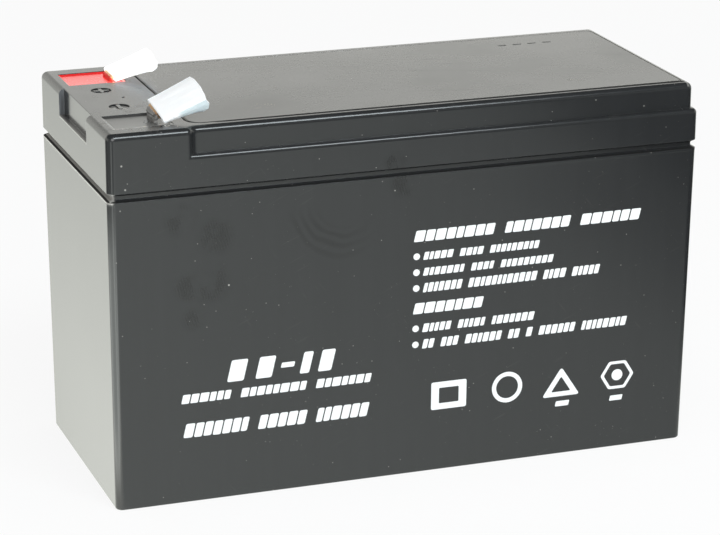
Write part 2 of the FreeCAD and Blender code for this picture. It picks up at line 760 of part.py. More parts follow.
def all_nodes():
    """Every piece by its node name."""
    nodes = {"case": make_case(), "lid": make_lid(), "lid_bond": make_lid_bond()}
    nodes["vent_cover"] = make_vent_cover()
    for index, (x, y) in enumerate(valve_places()):
        nodes[f"valve_cap_{index + 1}"] = make_valve_cap(x, y)
    for index, (column, row) in enumerate(CELLS):
        nodes[f"positive_plates_{index + 1}"] = make_plates(column, row, "positive")
        nodes[f"negative_plates_{index + 1}"] = make_plates(column, row, "negative")
        nodes[f"separators_{index + 1}"] = make_separators(column, row)
    for index in range(len(CELLS) - 1):
        nodes[f"cell_link_{index + 1}_{index + 2}"] = make_cell_link(index)
    for kind in LEAN:
        nodes[f"{kind}_post"] = make_post(kind)
        nodes[f"{kind}_gasket"] = make_gasket(kind)
        nodes[f"{kind}_tab"] = make_tab(kind)
        nodes[f"{kind}_seal"] = make_seal(kind)
        nodes[f"{kind}_sleeve"] = make_sleeve(kind)
    return nodes


def main():
    """Write one STEP file for each piece."""
    os.makedirs("parts", exist_ok=True)
    for name, shape in all_nodes().items():
        shape.exportStep(f"parts/{name}.step")
        bounds = shape.BoundBox
        print(f"{name:20s} solids {len(shape.Solids):2d} valid {shape.isValid()} volume {shape.Volume:10.1f}"
              f"  x {bounds.XMin:7.2f} {bounds.XMax:7.2f}  y {bounds.YMin:7.2f} {bounds.YMax:7.2f}"
              f"  z {bounds.ZMin:6.2f} {bounds.ZMax:6.2f}")


if __name__ == "__main__":
    main()
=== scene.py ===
"""Looks of a sealed block battery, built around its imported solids.

The file is laid out as an add-on: sizes and colours are properties, each piece or group of like pieces has an
operator, and a panel in the 3D view's sidebar lists them. Run as a script, it makes them all in order.
Lengths on the battery are millimetres until a mesh is made. Those of the studio are metres, as are the names
that end in _M.
"""

import math
import random
from functools import reduce

import bmesh
import bpy
from bpy.props import FloatProperty, FloatVectorProperty, IntProperty, PointerProperty
from bpy.types import Operator, Panel, PropertyGroup
from mathutils import Euler, Matrix, Vector
from mathutils.bvhtree import BVHTree


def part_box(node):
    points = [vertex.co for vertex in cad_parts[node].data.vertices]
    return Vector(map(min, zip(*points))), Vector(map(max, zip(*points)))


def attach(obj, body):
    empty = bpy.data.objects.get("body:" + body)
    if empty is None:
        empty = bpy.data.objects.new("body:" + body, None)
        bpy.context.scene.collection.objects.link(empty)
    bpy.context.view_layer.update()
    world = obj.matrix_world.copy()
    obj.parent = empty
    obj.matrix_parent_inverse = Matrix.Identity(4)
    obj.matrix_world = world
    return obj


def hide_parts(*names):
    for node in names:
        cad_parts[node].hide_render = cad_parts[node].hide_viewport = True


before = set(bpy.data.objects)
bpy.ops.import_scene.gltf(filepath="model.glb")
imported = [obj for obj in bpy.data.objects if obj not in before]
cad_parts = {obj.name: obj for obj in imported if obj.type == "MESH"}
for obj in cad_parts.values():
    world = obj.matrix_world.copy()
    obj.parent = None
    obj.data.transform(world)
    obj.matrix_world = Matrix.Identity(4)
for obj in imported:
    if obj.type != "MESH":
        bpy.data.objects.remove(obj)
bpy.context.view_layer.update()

bl_info = {
    "name": "Block battery looks",
    "version": (1, 0, 0),
    "blender": (4, 5, 0),
    "location": "3D View > Sidebar > Battery",
    "description": "Finishes, print, sleeves and studio for a sealed block battery",
    "category": "Object",
}

MM = 0.001
BODY = "root"
CELLS = range(1, 7)
LINKS = range(1, 6)

# Corners of the solids' boxes
CASE_LOW = Vector(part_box("case")[0]) / MM
WELL_LOW = Vector(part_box("negative_seal")[0]) / MM
COVER_LOW, COVER_HIGH = (Vector(corner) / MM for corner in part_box("vent_cover"))
LID_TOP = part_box("lid")[1][2] / MM

# Places on the solids that their boxes don't give: where the case's wall turns into its sloped rim, the
# lowest edge outside the lid, the notch in its end, the gap before the cover, the resin inside its brim,
# and the polarity marks
RIM_EDGE = 77.65
LID_EDGE = 79.75
NOTCH_FLOOR = 87.3
NOTCH_HALF_WIDTH = 13.15
COVER_FRONT_GAP = 0.4
SEAL_LEVEL = 93.6
MARK_RADIUS = 2.5
MARKS = [(-66.1, 8.45, 93.55), (-65.85, -7.65, 93.55)]

# What settles on the battery. The dust colours also paint highlights and light, the soot colour also paints
# shade, and the grime colour is only painted shade
PALE_DUST_AND_HIGHLIGHT = (0.50, 0.49, 0.46, 1.0)
DUST_AND_PAINTED_LIGHT = (0.46, 0.45, 0.42, 1.0)
SOOT_AND_SHADE = (0.008, 0.008, 0.008, 1.0)
SHADE_BLACK = (0.006, 0.006, 0.006, 1.0)
GREASE = (0.003, 0.003, 0.003, 1.0)

# Camera, as worked out from the photograph's edges
CAMERA_PLACE_M = (-0.23469, -0.64931, 0.27023)
CAMERA_AZIMUTH = -19.7308
CAMERA_ELEVATION = 18.1249
CAMERA_ROLL = 0.2883
CAMERA_LENS = 143.011
SENSOR_WIDTH = 36.0

# Blade leans, the same as the solids': bend end, slope above the level, roll, and the sleeve's length
SLEEVE_SEATS = {
    "negative": {"end": (-60.6, -21.15, 95.9), "slope": 20.6, "roll": 16.5, "length": 11.75},
    "positive": {"end": (-60.5, 21.15, 94.6), "slope": 18.0, "roll": 0.0, "length": 11.4},
}


class Signal:
    """One socket of a shader tree. Arithmetic on it adds Math nodes."""

    def __init__(self, shader, socket):
        self.shader = shader
        self.socket = socket

    def _math(self, operation, *values):
        return self.shader.add("ShaderNodeMath", {"operation": operation}, dict(enumerate(values)))

    def __add__(self, other):
        return self._math("ADD", self, other)

    def __radd__(self, other):
        return self._math("ADD", other, self)

    def __sub__(self, other):
        return self._math("SUBTRACT", self, other)

    def __rsub__(self, other):
        return self._math("SUBTRACT", other, self)

    def __mul__(self, other):
        return self._math("MULTIPLY", self, other)

    def __rmul__(self, other):
        return self._math("MULTIPLY", other, self)

    def either(self, other):
        """The larger of two masks."""
        return self._math("MAXIMUM", self, other)

    def size(self):
        """The value without its sign."""
        return self._math("ABSOLUTE", self)

    def wave(self):
        """Sine of the value, from 0 to 1."""
        return self._math("SINE", self) * 0.5 + 0.5

    def held(self, low=0.0, high=1.0):
        """The value kept between two limits."""
        return self.shader.add("ShaderNodeClamp", None, {"Value": self, "Min": low, "Max": high})

    def step(self, low, high):
        """A smooth step from 0 at low to 1 at high; low may be the larger."""
        return self.shader.add("ShaderNodeMapRange", {"interpolation_type": "SMOOTHSTEP"},
                               {"Value": self, "From Min": low, "From Max": high})

    def part(self, name):
        """Another output of the same node."""
        return Signal(self.shader, self.socket.node.outputs[name])


class Shader:
    """Node tree of one material, world or lamp."""

    def __init__(self, tree):
        self.tree = tree
        tree.nodes.clear()

    def add(self, kind, settings=None, sockets=None, output=0):
        """Adds one node: its settings first, then the values and links of its sockets."""
        node = self.tree.nodes.new(kind)
        for name, value in (settings or {}).items():
            setattr(node, name, value)
        for name, value in (sockets or {}).items():
            if isinstance(value, Signal):
                self.tree.links.new(value.socket, node.inputs[name])
            else:
                node.inputs[name].default_value = value
        return Signal(self, node.outputs[output]) if node.outputs else None

    def place(self):
        """The point on the surface, in metres of the shared frame."""
        return self.add("ShaderNodeTexCoord", None, None, "Object")

    def geometry(self, name):
        """One of the surface's own directions."""
        return self.add("ShaderNodeNewGeometry", None, None, name)

    def axis(self, vector, name):
        """One coordinate of a vector."""
        return self.add("ShaderNodeSeparateXYZ", None, {"Vector": vector}, name)

    def millimetres(self, place):
        """The three coordinates of a point, in millimetres."""
        return [self.axis(place, name) * (1 / MM) for name in "XYZ"]

    def dot(self, first, second):
        """Dot product of two vectors."""
        return self.add("ShaderNodeVectorMath", {"operation": "DOT_PRODUCT"}, {0: first, 1: second}, "Value")

    def stretched(self, vector, scales):
        """A vector with each direction scaled by its own number."""
        return self.add("ShaderNodeVectorMath", {"operation": "MULTIPLY"}, {0: vector, 1: scales})

    def turned(self, vector, angles):
        """A vector turned by three angles in degrees."""
        turn = tuple(math.radians(angle) for angle in angles)
        return self.add("ShaderNodeMapping", {"vector_type": "POINT"}, {"Vector": vector, "Rotation": turn})

    def along(self, vector, start_mm, direction):
        """Distance in millimetres along a direction from a point of the shared frame."""
        return self.dot(vector, tuple(direction)) * (1 / MM) - Vector(start_mm).dot(direction)

    def reach(self, vector, centre_mm):
        """Distance in millimetres from a point of the shared frame."""
        centre = tuple(value * MM for value in centre_mm)
        away = self.add("ShaderNodeVectorMath", {"operation": "DISTANCE"}, {0: vector, 1: centre}, "Value")
        return away * (1 / MM)

    def noise(self, vector, scale, detail=2.0, roughness=0.5):
        """Fractal noise from 0 to 1; scale is features per metre of the vector."""
        return self.add("ShaderNodeTexNoise", {"noise_dimensions": "3D"},
                        {"Vector": vector, "Scale": scale, "Detail": detail, "Roughness": roughness})

    def specks(self, vector, scale, size):
        """Scattered round specks; size is a share of their spacing."""
        sockets = {"Vector": vector, "Scale": scale}
        nearest = self.add("ShaderNodeTexVoronoi", {"feature": "F1"}, sockets, "Distance")
        return nearest.step(size, size * 0.55)

    def blend(self, factor, first, second):
        """Colour between two colours; the factor is kept from 0 to 1."""
        return self.add("ShaderNodeMix", {"data_type": "RGBA"}, {0: factor, 6: first, 7: second}, 2)

    def rounded_edges(self, radius_mm):
        """Surface normal with edges rounded off by a small radius."""
        return self.add("ShaderNodeBevel", {"samples": 6}, {"Radius": radius_mm * MM})

    def edge_wear(self, rounded):
        """Mask of the places where the rounded normal leaves the true one."""
        return (1.0 - self.dot(rounded, self.geometry("True Normal"))).step(0.02, 0.25)

    def bumped(self, height, strength, depth_mm, normal=None):
        """Normal of a surface with a height pattern."""
        sockets = {"Height": height, "Strength": strength, "Distance": depth_mm * MM}
        if normal is not None:
            sockets["Normal"] = normal
        return self.add("ShaderNodeBump", None, sockets)

    def surface(self, **sockets):
        """Principled surface on the material's output. Names use _ for spaces."""
        values = {name.replace("_", " "): value for name, value in sockets.items()}
        shaded = self.add("ShaderNodeBsdfPrincipled", None, values)
        self.add("ShaderNodeOutputMaterial", None, {"Surface": shaded})


def new_material(name):
    """A material with an empty node tree, and its shader."""
    material = bpy.data.materials.new(name)
    material.use_nodes = True
    return material, Shader(material.node_tree)


def rgba(colour, share=1.0):
    """A colour with full alpha, or a share of it."""
    return (*(value * share for value in tuple(colour)[:3]), 1.0)


def dress(node, material):
    """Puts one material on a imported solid."""
    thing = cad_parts[node]
    thing.data.materials.clear()
    thing.data.materials.append(material)


def add_piece(name, mesh, material, smooth_angle=None):
    """A visible piece of the object, riding on its only body."""
    mesh.materials.append(material)
    piece = bpy.data.objects.new(name, mesh)
    bpy.context.scene.collection.objects.link(piece)
    if smooth_angle is not None:
        mesh.shade_smooth()
        mesh.set_sharp_from_angle(angle=math.radians(smooth_angle))
    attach(piece, BODY)
    return piece


def mesh_from(name, points_mm, faces):
    """A closed mesh from points in millimetres, with its faces turned outward."""
    mesh = bpy.data.meshes.new(name)
    mesh.from_pydata([tuple(value * MM for value in point) for point in points_mm], [], faces)
    mesh.validate()
    work = bmesh.new()
    work.from_mesh(mesh)
    bmesh.ops.recalc_face_normals(work, faces=work.faces)
    work.to_mesh(mesh)
    work.free()
    return mesh


def ring_faces(first, rings, count, closed=True):
    """Quads from each ring of points to the next, and from the last to the first where they close."""
    faces = []
    for ring in range(rings if closed else rings - 1):
        here, there = (first + number % rings * count for number in (ring, ring + 1))
        for step in range(count):
            follow = (step + 1) % count
            faces.append([here + step, here + follow, there + follow, there + step])
    return faces


def surface_tree(node):
    """Ray-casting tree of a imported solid."""
    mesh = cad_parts[node].data
    return BVHTree.FromPolygons([vertex.co.copy() for vertex in mesh.vertices],
                                [tuple(face.vertices) for face in mesh.polygons])


def lean_axes(seat):
    """Along, across and normal of a leaning blade."""
    slope, roll = math.radians(seat["slope"]), math.radians(seat["roll"])
    along = Vector((math.cos(slope), 0.0, math.sin(slope)))
    face = Vector((-math.sin(slope), 0.0, math.cos(slope)))
    side = Vector((0.0, 1.0, 0.0))
    across = side * math.cos(roll) + face * math.sin(roll)
    normal = face * math.cos(roll) - side * math.sin(roll)
    return along, across, normal


class BATTERY_PG_finishes(PropertyGroup):
    """Colours and finish of the battery's own materials."""

    plastic_colour: FloatVectorProperty(
        name="Plastic colour", description="Colour of the moulded case and lid", subtype="COLOR",
        default=(0.0200, 0.0212, 0.0222), min=0.0, max=1.0)
    plastic_roughness: FloatProperty(
        name="Plastic roughness", description="Roughness of the case and lid where they are clean",
        default=0.13, min=0.0, max=1.0, subtype="FACTOR")
    cover_colour: FloatVectorProperty(
        name="Cover colour", description="Colour of the cover plate over the valves", subtype="COLOR",
        default=(0.046, 0.046, 0.045), min=0.0, max=1.0)
    cover_roughness: FloatProperty(
        name="Cover roughness", description="Roughness of the cover plate", default=0.27, min=0.0, max=1.0,
        subtype="FACTOR")
    dust_colour: FloatVectorProperty(
        name="Dust colour", description="Colour of dust and scuffs", subtype="COLOR",
        default=(0.46, 0.44, 0.41), min=0.0, max=1.0)
    print_colour: FloatVectorProperty(
        name="Print colour", description="Colour of the print on the front", subtype="COLOR",
        default=(0.86, 0.88, 0.88), min=0.0, max=1.0)
    positive_colour: FloatVectorProperty(
        name="Positive potting", description="Colour of the potting round the positive blade",
        subtype="COLOR", default=(0.92, 0.03, 0.03), min=0.0, max=1.0)
    negative_colour: FloatVectorProperty(
        name="Negative potting", description="Colour of the potting round the negative blade",
        subtype="COLOR", default=(0.075, 0.074, 0.072), min=0.0, max=1.0)
    sleeve_colour: FloatVectorProperty(
        name="Sleeve colour", description="Colour of the sleeves on the blades", subtype="COLOR",
        default=(0.95, 0.96, 0.97), min=0.0, max=1.0)


class BATTERY_PG_sizes(PropertyGroup):
    """Sizes of the pieces that this file adds to the solids."""

    ink_height: FloatProperty(
        name="Ink height", description="How far the print stands off the case", default=0.00003, min=0.0,
        unit="LENGTH", subtype="DISTANCE", precision=6)
    ink_slant: FloatProperty(
        name="Slant", description="Lean of the print from upright", default=math.radians(13.0),
        subtype="ANGLE")
    sleeve_wall: FloatProperty(
        name="Sleeve wall", description="Wall of the sleeves on the blades", default=0.00045, min=0.0001,
        unit="LENGTH", subtype="DISTANCE", precision=5)
    seed: IntProperty(name="Seed", description="Start of every random draw", default=7, min=0)


class BATTERY_PG_studio(PropertyGroup):
    """Light and floor."""

    key_power: FloatProperty(
        name="Overhead lamp", description="Power of the soft lamp overhead", default=6.2, min=0.0,
        unit="POWER")
    front_power: FloatProperty(
        name="Front lamp", description="Power of the soft lamp in front", default=17.0, min=0.0, unit="POWER")
    back_power: FloatProperty(
        name="Back lamp", description="Power of the wide soft lamp behind", default=1.2, min=0.0,
        unit="POWER")
    table_glow: FloatProperty(
        name="Table glow", description="Brightness of the table as the battery's glossy end mirrors it",
        default=2.08, min=0.0)
    sky: FloatProperty(
        name="Sky", description="Strength of the even light from all round", default=0.46, min=0.0)
    floor_white: FloatProperty(
        name="Floor white", description="Share of plain white in the floor as the camera sees it",
        default=0.88, min=0.0, max=1.0, subtype="FACTOR")


class Coat:
    """Colour and roughness of one surface, built up in layers."""

    def __init__(self, shader, place, colour, rough):
        self.shader = shader
        self.place = place
        self.colour = colour
        self.rough = rough

    def lay(self, mask, colour, cover=1.0, dull=0.0):
        """Lays a colour where a mask is 1: cover is how much of it shows, dull is added to the roughness."""
        self.colour = self.shader.blend(mask * cover, self.colour, colour)
        if dull:
            self.rough = self.rough + mask * dull

    def noise(self, *settings):
        """Noise over the surface."""
        return self.shader.noise(self.place, *settings)

    def reach(self, centre):
        """Distance over the surface from a point, in millimetres."""
        return self.shader.reach(self.place, centre)

    def spots(self, centres, core=0.5):
        """Mask of round spots, given as centre and radius; core is the share of the radius that is full."""
        return reduce(Signal.either, [self.reach(centre).step(radius, radius * core)
                                      for centre, radius in centres])

    def finger_marks(self, touches):
        """Mask of finger marks, given as centre and radius, with the fine lines of a fingertip."""
        x, _, z = self.shader.millimetres(self.place)
        lines = (x * 9.2 + z * 2.4 + self.noise(90.0) * 7.0).wave() * 0.6 + 0.4
        return self.spots(touches, 0.3) * lines * self.noise(170.0, 3.0, 0.6).step(0.34, 0.58)


def hairlines(shader, place, angles, scales, low, high):
    """Mask of long thin scratches along a turned direction."""
    drawn_out = shader.stretched(shader.turned(place, angles), scales)
    return shader.noise(drawn_out, 1.0, 1.0, 0.4).step(low, high)


def moulded_black(name, looks, dirt_and_painted_light):
    """Black moulded plastic with smears, hairline scratches, dust and worn edges, under its own soiling and
    painted light and shade.
    """
    material, shader = new_material(name)
    place = shader.place()
    dust = rgba(looks.dust_colour)
    clouds = shader.noise(place, 22.0, 4.0, 0.6)
    streaks = shader.noise(shader.stretched(place, (260.0, 260.0, 14.0)), 1.0, 3.0, 0.6)
    grain = shader.noise(place, 2600.0)
    patches = shader.noise(place, 46.0, 3.0, 0.55).step(0.42, 0.62)
    scratches = hairlines(shader, place, (0.0, 24.0, 11.0), (110.0, 110.0, 2100.0), 0.70, 0.78)
    scratches = scratches + hairlines(shader, place, (0.0, -52.0, 31.0), (130.0, 130.0, 1700.0), 0.73, 0.80)
    scratches = scratches * patches
    sprinkle = shader.specks(place, 330.0, 0.05) + shader.specks(place, 800.0, 0.055) * patches
    rounded = shader.rounded_edges(0.2)
    wear = shader.edge_wear(rounded) * shader.noise(place, 240.0, 3.0, 0.6).step(0.35, 0.7)
    rough = looks.plastic_roughness + (clouds - 0.5) * 0.08 + (streaks - 0.4) * 0.05 + grain * 0.02
    coat = Coat(shader, place, rgba(looks.plastic_colour), rough)
    coat.lay(streaks.step(0.3, 0.75), rgba(looks.plastic_colour, 1.18), 0.35)
    coat.lay(scratches, dust, 0.02, 0.04)
    coat.lay(wear, dust, 0.05)
    coat.lay(sprinkle, dust, 0.5, 0.15)
    dirt_and_painted_light(coat)
    height = grain * 0.4 + clouds * 0.6 - scratches * 0.12
    shader.surface(Base_Color=coat.colour, Roughness=coat.rough.held(0.05, 1.0), IOR=1.53,
                   Normal=shader.bumped(height, 0.10, 0.12, rounded))
    return material


def case_dirt_and_shade(coat):
    """Finger marks, wipes and specks on the case's front, and on its rim dust, a painted highlight along the
    top edge over the end and painted shade under the lid's edge.
    """
    x, y, z = coat.shader.millimetres(coat.place)
    from_end, from_front, over_rim = x - CASE_LOW.x, y - CASE_LOW.y, z - RIM_EDGE

    touched = coat.finger_marks([((-2.2, -32.4, 75.8), 4.6), ((-51.0, -32.2, 55.6), 6.5),
                                 ((-58.0, -32.2, 72.0), 5.5), ((-55.5, -32.2, 47.0), 3.6),
                                 ((-56.5, -32.2, 55.0), 4.5), ((-49.7, -32.2, 67.0), 6.0)])
    bow = coat.reach((-17.5, -32.3, 72.5))
    wiped = bow.step(5.5, 8.0) * bow.step(16.0, 12.0) * z.step(73.5, 66.5) * x.step(-8.0, -20.0)
    wiped = wiped * (bow * 2.6 + coat.noise(90.0) * 9.0).wave().step(0.1, 1.0)
    coat.lay((touched * 0.8).either(wiped * 0.38), GREASE, 0.8, 0.22)

    # painted highlight: a pale line along the case's top edge over the end, laid in the dust colour
    edge_highlight = over_rim.step(-0.5, -0.25) * over_rim.step(0.25, 0.05) * from_end.step(1.5, 0.9)
    coat.lay(edge_highlight, DUST_AND_PAINTED_LIGHT, 0.91)
    dots = coat.spots([((-72.7, -32.2, 75.7), 0.35), ((-73.8, -32.0, 68.5), 0.30),
                       ((-46.4, -32.2, 54.7), 0.30), ((-4.6, -32.3, 74.2), 0.25)])
    coat.lay(dots, DUST_AND_PAINTED_LIGHT, 0.84)

    # the sloped rim: dust and a painted highlight above the end, and painted shade in black along its outer
    # edge there and along the front, under the lid's edge
    slope = over_rim.step(-0.01, 0.03) * from_end.step(2.0, 1.4)
    coat.lay(slope, DUST_AND_PAINTED_LIGHT, 0.55, 0.5)
    black = (slope * from_end.step(0.65, 0.5)).either(over_rim.step(0.01, 0.05) * from_front.step(0.9, 0.5))
    coat.lay(black, SHADE_BLACK, 1.0, 0.4)


def lid_dirt_and_light(coat):
    """Dust on the lid's level faces and in its marks, soot round the negative blade, painted highlights along
    the cover's narrow joints and the negative well's edges, painted shade along the wide gap before the
    cover, and painted light and reflections at the end and in the notch.
    """
    x, y, z = coat.shader.millimetres(coat.place)
    up = coat.shader.axis(coat.shader.geometry("Normal"), "Z").step(0.5, 0.9)
    coat.rough = coat.rough + up * 0.10

    lees = coat.noise(300.0, 5.0, 0.72).step(0.50, 0.72) * coat.noise(70.0).step(0.4, 0.65)
    near = coat.reach((-62.0, -14.0, 94.0)).step(26.0, 6.0)
    coat.lay(lees * (near * 0.14 + 0.04) * up, (0.42, 0.39, 0.34, 1.0), 1.0, 0.8)
    dots = coat.spots([((-72.2, -32.5, 86.5), 0.30), ((-71.4, -32.5, 80.7), 0.30),
                       ((61.1, -31.1, 89.3), 0.22), ((48.1, -31.1, 91.9), 0.20)])
    coat.lay(dots, DUST_AND_PAINTED_LIGHT, 0.6)
    coat.lay(coat.finger_marks([((-4.6, -32.5, 81.6), 3.6)]), GREASE, 0.8, 0.22)
    hollow = coat.spots([(centre, MARK_RADIUS + 0.05) for centre in MARKS], 0.96) * z.step(93.70, 93.62)
    coat.lay(hollow * up, (0.30, 0.29, 0.27, 1.0), 0.75)

    # painted highlight along the two narrow joints, at the cover's right and behind it, laid in the dust
    # colour
    past_right, past_back = x - COVER_HIGH.x, y - COVER_HIGH.y
    joint_highlight = past_right.step(0.01, 0.05) * past_right.step(0.65, 0.45)
    joint_highlight = joint_highlight.either(past_back.step(0.01, 0.05) * past_back.step(0.40, 0.25) * x.step(-56.0, -54.5))
    coat.lay(joint_highlight * z.step(93.0, 93.4), DUST_AND_PAINTED_LIGHT, 0.35)

    end_painted_light(coat, x - CASE_LOW.x, y, z)
    rim_highlight_and_shade(coat, x, y, z - LID_TOP)

    soot = coat.reach((-61.9, -23.6, 93.9)).step(5.2, 1.5) * y.step(-28.0, -26.2)
    coat.lay(soot * coat.noise(520.0, 4.0, 0.7).step(0.36, 0.60) * up, SOOT_AND_SHADE, 0.85, 0.45)


def end_painted_light(coat, from_end, y, z):
    """Painted light on the faces just under the lid's end edge, the notch's floor paler towards the end, and
    a painted reflection on the notch's sides.
    """
    # painted light on the lid's faces just below its end edge, laid in the dust colour
    coat.lay(from_end.step(1.9, 1.1) * (z - LID_EDGE).step(0.10, -0.05), DUST_AND_PAINTED_LIGHT, 0.95)
    over_floor, from_side = z - NOTCH_FLOOR, y.size() - NOTCH_HALF_WIDTH
    inset = from_side.step(0.20, 0.10) * from_end.step(1.4, 1.2)
    # the notch's floor, paler towards the end
    shelf = inset * over_floor.step(0.15, 0.08) * over_floor.step(-0.5, -0.3)
    coat.lay(shelf * (from_end.step(0.6, 0.3) * 0.34 + from_end.step(1.1, 0.7) * 0.16 + 0.08), DUST_AND_PAINTED_LIGHT)
    # painted reflection: pale bluish upright bars on the notch's sides
    side_reflection = inset * from_side.step(-0.15, -0.05) * over_floor.step(0.0, 0.3)
    upright = coat.shader.stretched(coat.place, (900.0, 60.0, 90.0))
    bars = coat.shader.noise(upright, 1.0, 3.0, 0.7).step(0.36, 0.62)
    coat.lay(side_reflection * (bars * 0.40 + 0.16), (0.42, 0.45, 0.48, 1.0))


def rim_highlight_and_shade(coat, x, y, under_top):
    """Painted highlight along the negative well's front and left edges, and painted shade along the wide gap
    before the cover.
    """
    from_left, from_front = x - WELL_LOW.x, y - WELL_LOW.y
    # painted highlight along the well's front edge (sill) and left edge (jut)
    sill = from_front.step(-0.40, -0.30) * from_front.step(0.05, 0.0)
    sill = sill * from_left.step(-0.25, -0.05) * x.step(-62.0, -64.0)
    jut = from_left.step(-0.40, -0.30) * from_left.step(0.05, 0.0)
    jut = jut * from_front.step(-0.35, -0.15) * y.step(-16.0, -19.0)
    pale = (sill * 0.55 + jut * 0.35) * coat.noise(420.0).step(0.2, 0.45)
    coat.lay(pale * under_top.step(-0.5, -0.2), PALE_DUST_AND_HIGHLIGHT)
    # painted shade along the wide gap before the cover, wider towards the right
    outside = COVER_LOW.y - COVER_FRONT_GAP - y
    darkening = outside.step(-0.4, -0.2) * (outside - x * 0.003).step(0.8, 0.5) * x.step(-50.0, -44.0)
    coat.lay(darkening * x.step(73.5, 72.5) * under_top.step(-1.2, -0.8), SHADE_BLACK, 0.8, 0.6)


class BATTERY_OT_case_and_lid(Operator):
    """Dress the moulded case and lid"""

    bl_idname = "battery.case_and_lid"
    bl_label = "Case and lid"

    def execute(self, context):
        looks = context.scene.battery_finishes
        dress("case", moulded_black("moulded_case", looks, case_dirt_and_shade))
        dress("lid", moulded_black("moulded_lid", looks, lid_dirt_and_light))
        return {"FINISHED"}


class BATTERY_OT_vent_cover(Operator):
    """Dress the cover plate with its duller finish, scuffs, settled dust, painted highlights along its edges,
    painted shade along its front edge, and paler towards the back as a painted reflection
    """

    bl_idname = "battery.vent_cover"
    bl_label = "Vent cover"

    def execute(self, context):
        looks = context.scene.battery_finishes
        material, shader = new_material("moulded_cover")
        place = shader.place()
        x, y, _ = shader.millimetres(place)
        from_front, to_right, to_back = y - COVER_LOW.y, COVER_HIGH.x - x, COVER_HIGH.y - y
        grain = shader.noise(place, 1900.0, 3.0, 0.6)
        clouds = shader.noise(place, 30.0, 4.0, 0.6)
        drag = shader.stretched(shader.turned(place, (0.0, 0.0, 17.0)), (22.0, 700.0, 22.0))
        scuffs = shader.noise(drag, 1.0).step(0.62, 0.74) * clouds.step(0.42, 0.62)
        lees = shader.noise(place, 340.0, 5.0, 0.75).step(0.52, 0.74)
        settled = shader.noise(place, 34.0, 3.0, 0.6).step(0.42, 0.66)
        clusters = shader.reach(place, (-32.8, -18.9, 94.0)).step(7.0, 1.0)
        clusters = clusters.either(shader.reach(place, (48.8, -17.6, 94.0)).step(5.0, 0.5))
        rounded = shader.rounded_edges(0.25)
        # worn: wear on the rounded edges, a painted highlight along the front edge, and paler towards the
        # back as a painted reflection
        worn = shader.edge_wear(rounded) * 0.15
        worn = worn + from_front.step(1.2, 0.4) * 0.06 + y.step(-10.0, 28.0) * 0.035

        dust = rgba(looks.dust_colour)
        coat = Coat(shader, place, rgba(looks.cover_colour), looks.cover_roughness + (clouds - 0.5) * 0.10)
        coat.lay(lees * (settled * 0.12 + clusters * 0.5 + 0.03), dust, 1.0, 0.5)
        coat.lay(scuffs, dust, 0.10, 0.08)
        coat.lay(worn, dust)
        # painted highlight along the right and back edges
        coat.lay(to_right.step(0.3, 0.2).either(to_back.step(0.3, 0.2)), PALE_DUST_AND_HIGHLIGHT, 0.85)
        # painted shade on the front edge, over the gap
        coat.lay(from_front.step(0.25, 0.20), SOOT_AND_SHADE, 0.9)
        coat.lay(shader.specks(place, 420.0, 0.07), (0.62, 0.60, 0.56, 1.0), 0.45, 0.3)
        shader.surface(Base_Color=coat.colour, Roughness=coat.rough.held(0.05, 1.0), IOR=1.5,
                       Normal=shader.bumped(grain * 0.7 + clouds * 0.5, 0.15, 0.10, rounded))
        dress("vent_cover", material)
        return {"FINISHED"}


def potting(node, name, colour, pale, roughness):
    """Cast resin with bubbles, an uneven skin, paler towards the front, pale dust and a painted highlight
    along its raised brim but not at the rear, painted shade along the rear edge, and a painted glow of its
    own colour.
    """
    material, shader = new_material(name)
    place = shader.place()
    _, y, z = shader.millimetres(place)
    to_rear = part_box(node)[1][1] / MM - y
    waves = shader.noise(place, 210.0, 3.0)
    bubbles = shader.specks(place, 900.0, 0.12)
    lees = shader.noise(place, 600.0, 4.0, 0.7).step(0.52, 0.74)
    # pale dust and a painted highlight along the raised brim
    brim = (z - SEAL_LEVEL).step(0.02, 0.12) * to_rear.step(0.6, 1.4)
    brim = brim * shader.noise(place, 420.0).step(0.2, 0.4)
    coat = Coat(shader, place, rgba(colour), roughness + bubbles * 0.05)
    coat.lay(waves.step(0.35, 0.7), rgba(colour, 0.8), 0.15)
    coat.lay(lees * 0.05 + to_rear.step(2.0, 11.0) * 0.12 + brim * 0.8, rgba(pale))
    # painted shade along the rear edge, next to the well's back wall
    coat.lay(to_rear.step(1.2, 0.5), rgba(colour, 0.55), 0.6)
    # painted glow: the resin gives off light in its own colour
    painted_glow = rgba([value - min(colour) for value in colour], 0.15)
    shader.surface(Base_Color=coat.colour, Roughness=(coat.rough + lees * 0.06).held(0.05, 1.0), IOR=1.52,
                   Emission_Color=painted_glow, Emission_Strength=1.0,
                   Normal=shader.bumped(waves - bubbles * 0.2, 0.2, 0.2))
    return material


class BATTERY_OT_potting(Operator):
    """Dress the potting in the two terminal wells"""

    bl_idname = "battery.potting"
    bl_label = "Well potting"

    def execute(self, context):
        looks = context.scene.battery_finishes
        red, black = tuple(looks.positive_colour), tuple(looks.negative_colour)
        dress("positive_seal", potting("positive_seal", "red_potting", red, (0.95, 0.50, 0.45), 0.24))
        dress("negative_seal", potting("negative_seal", "black_potting", black, PALE_DUST_AND_HIGHLIGHT, 0.30))
        return {"FINISHED"}


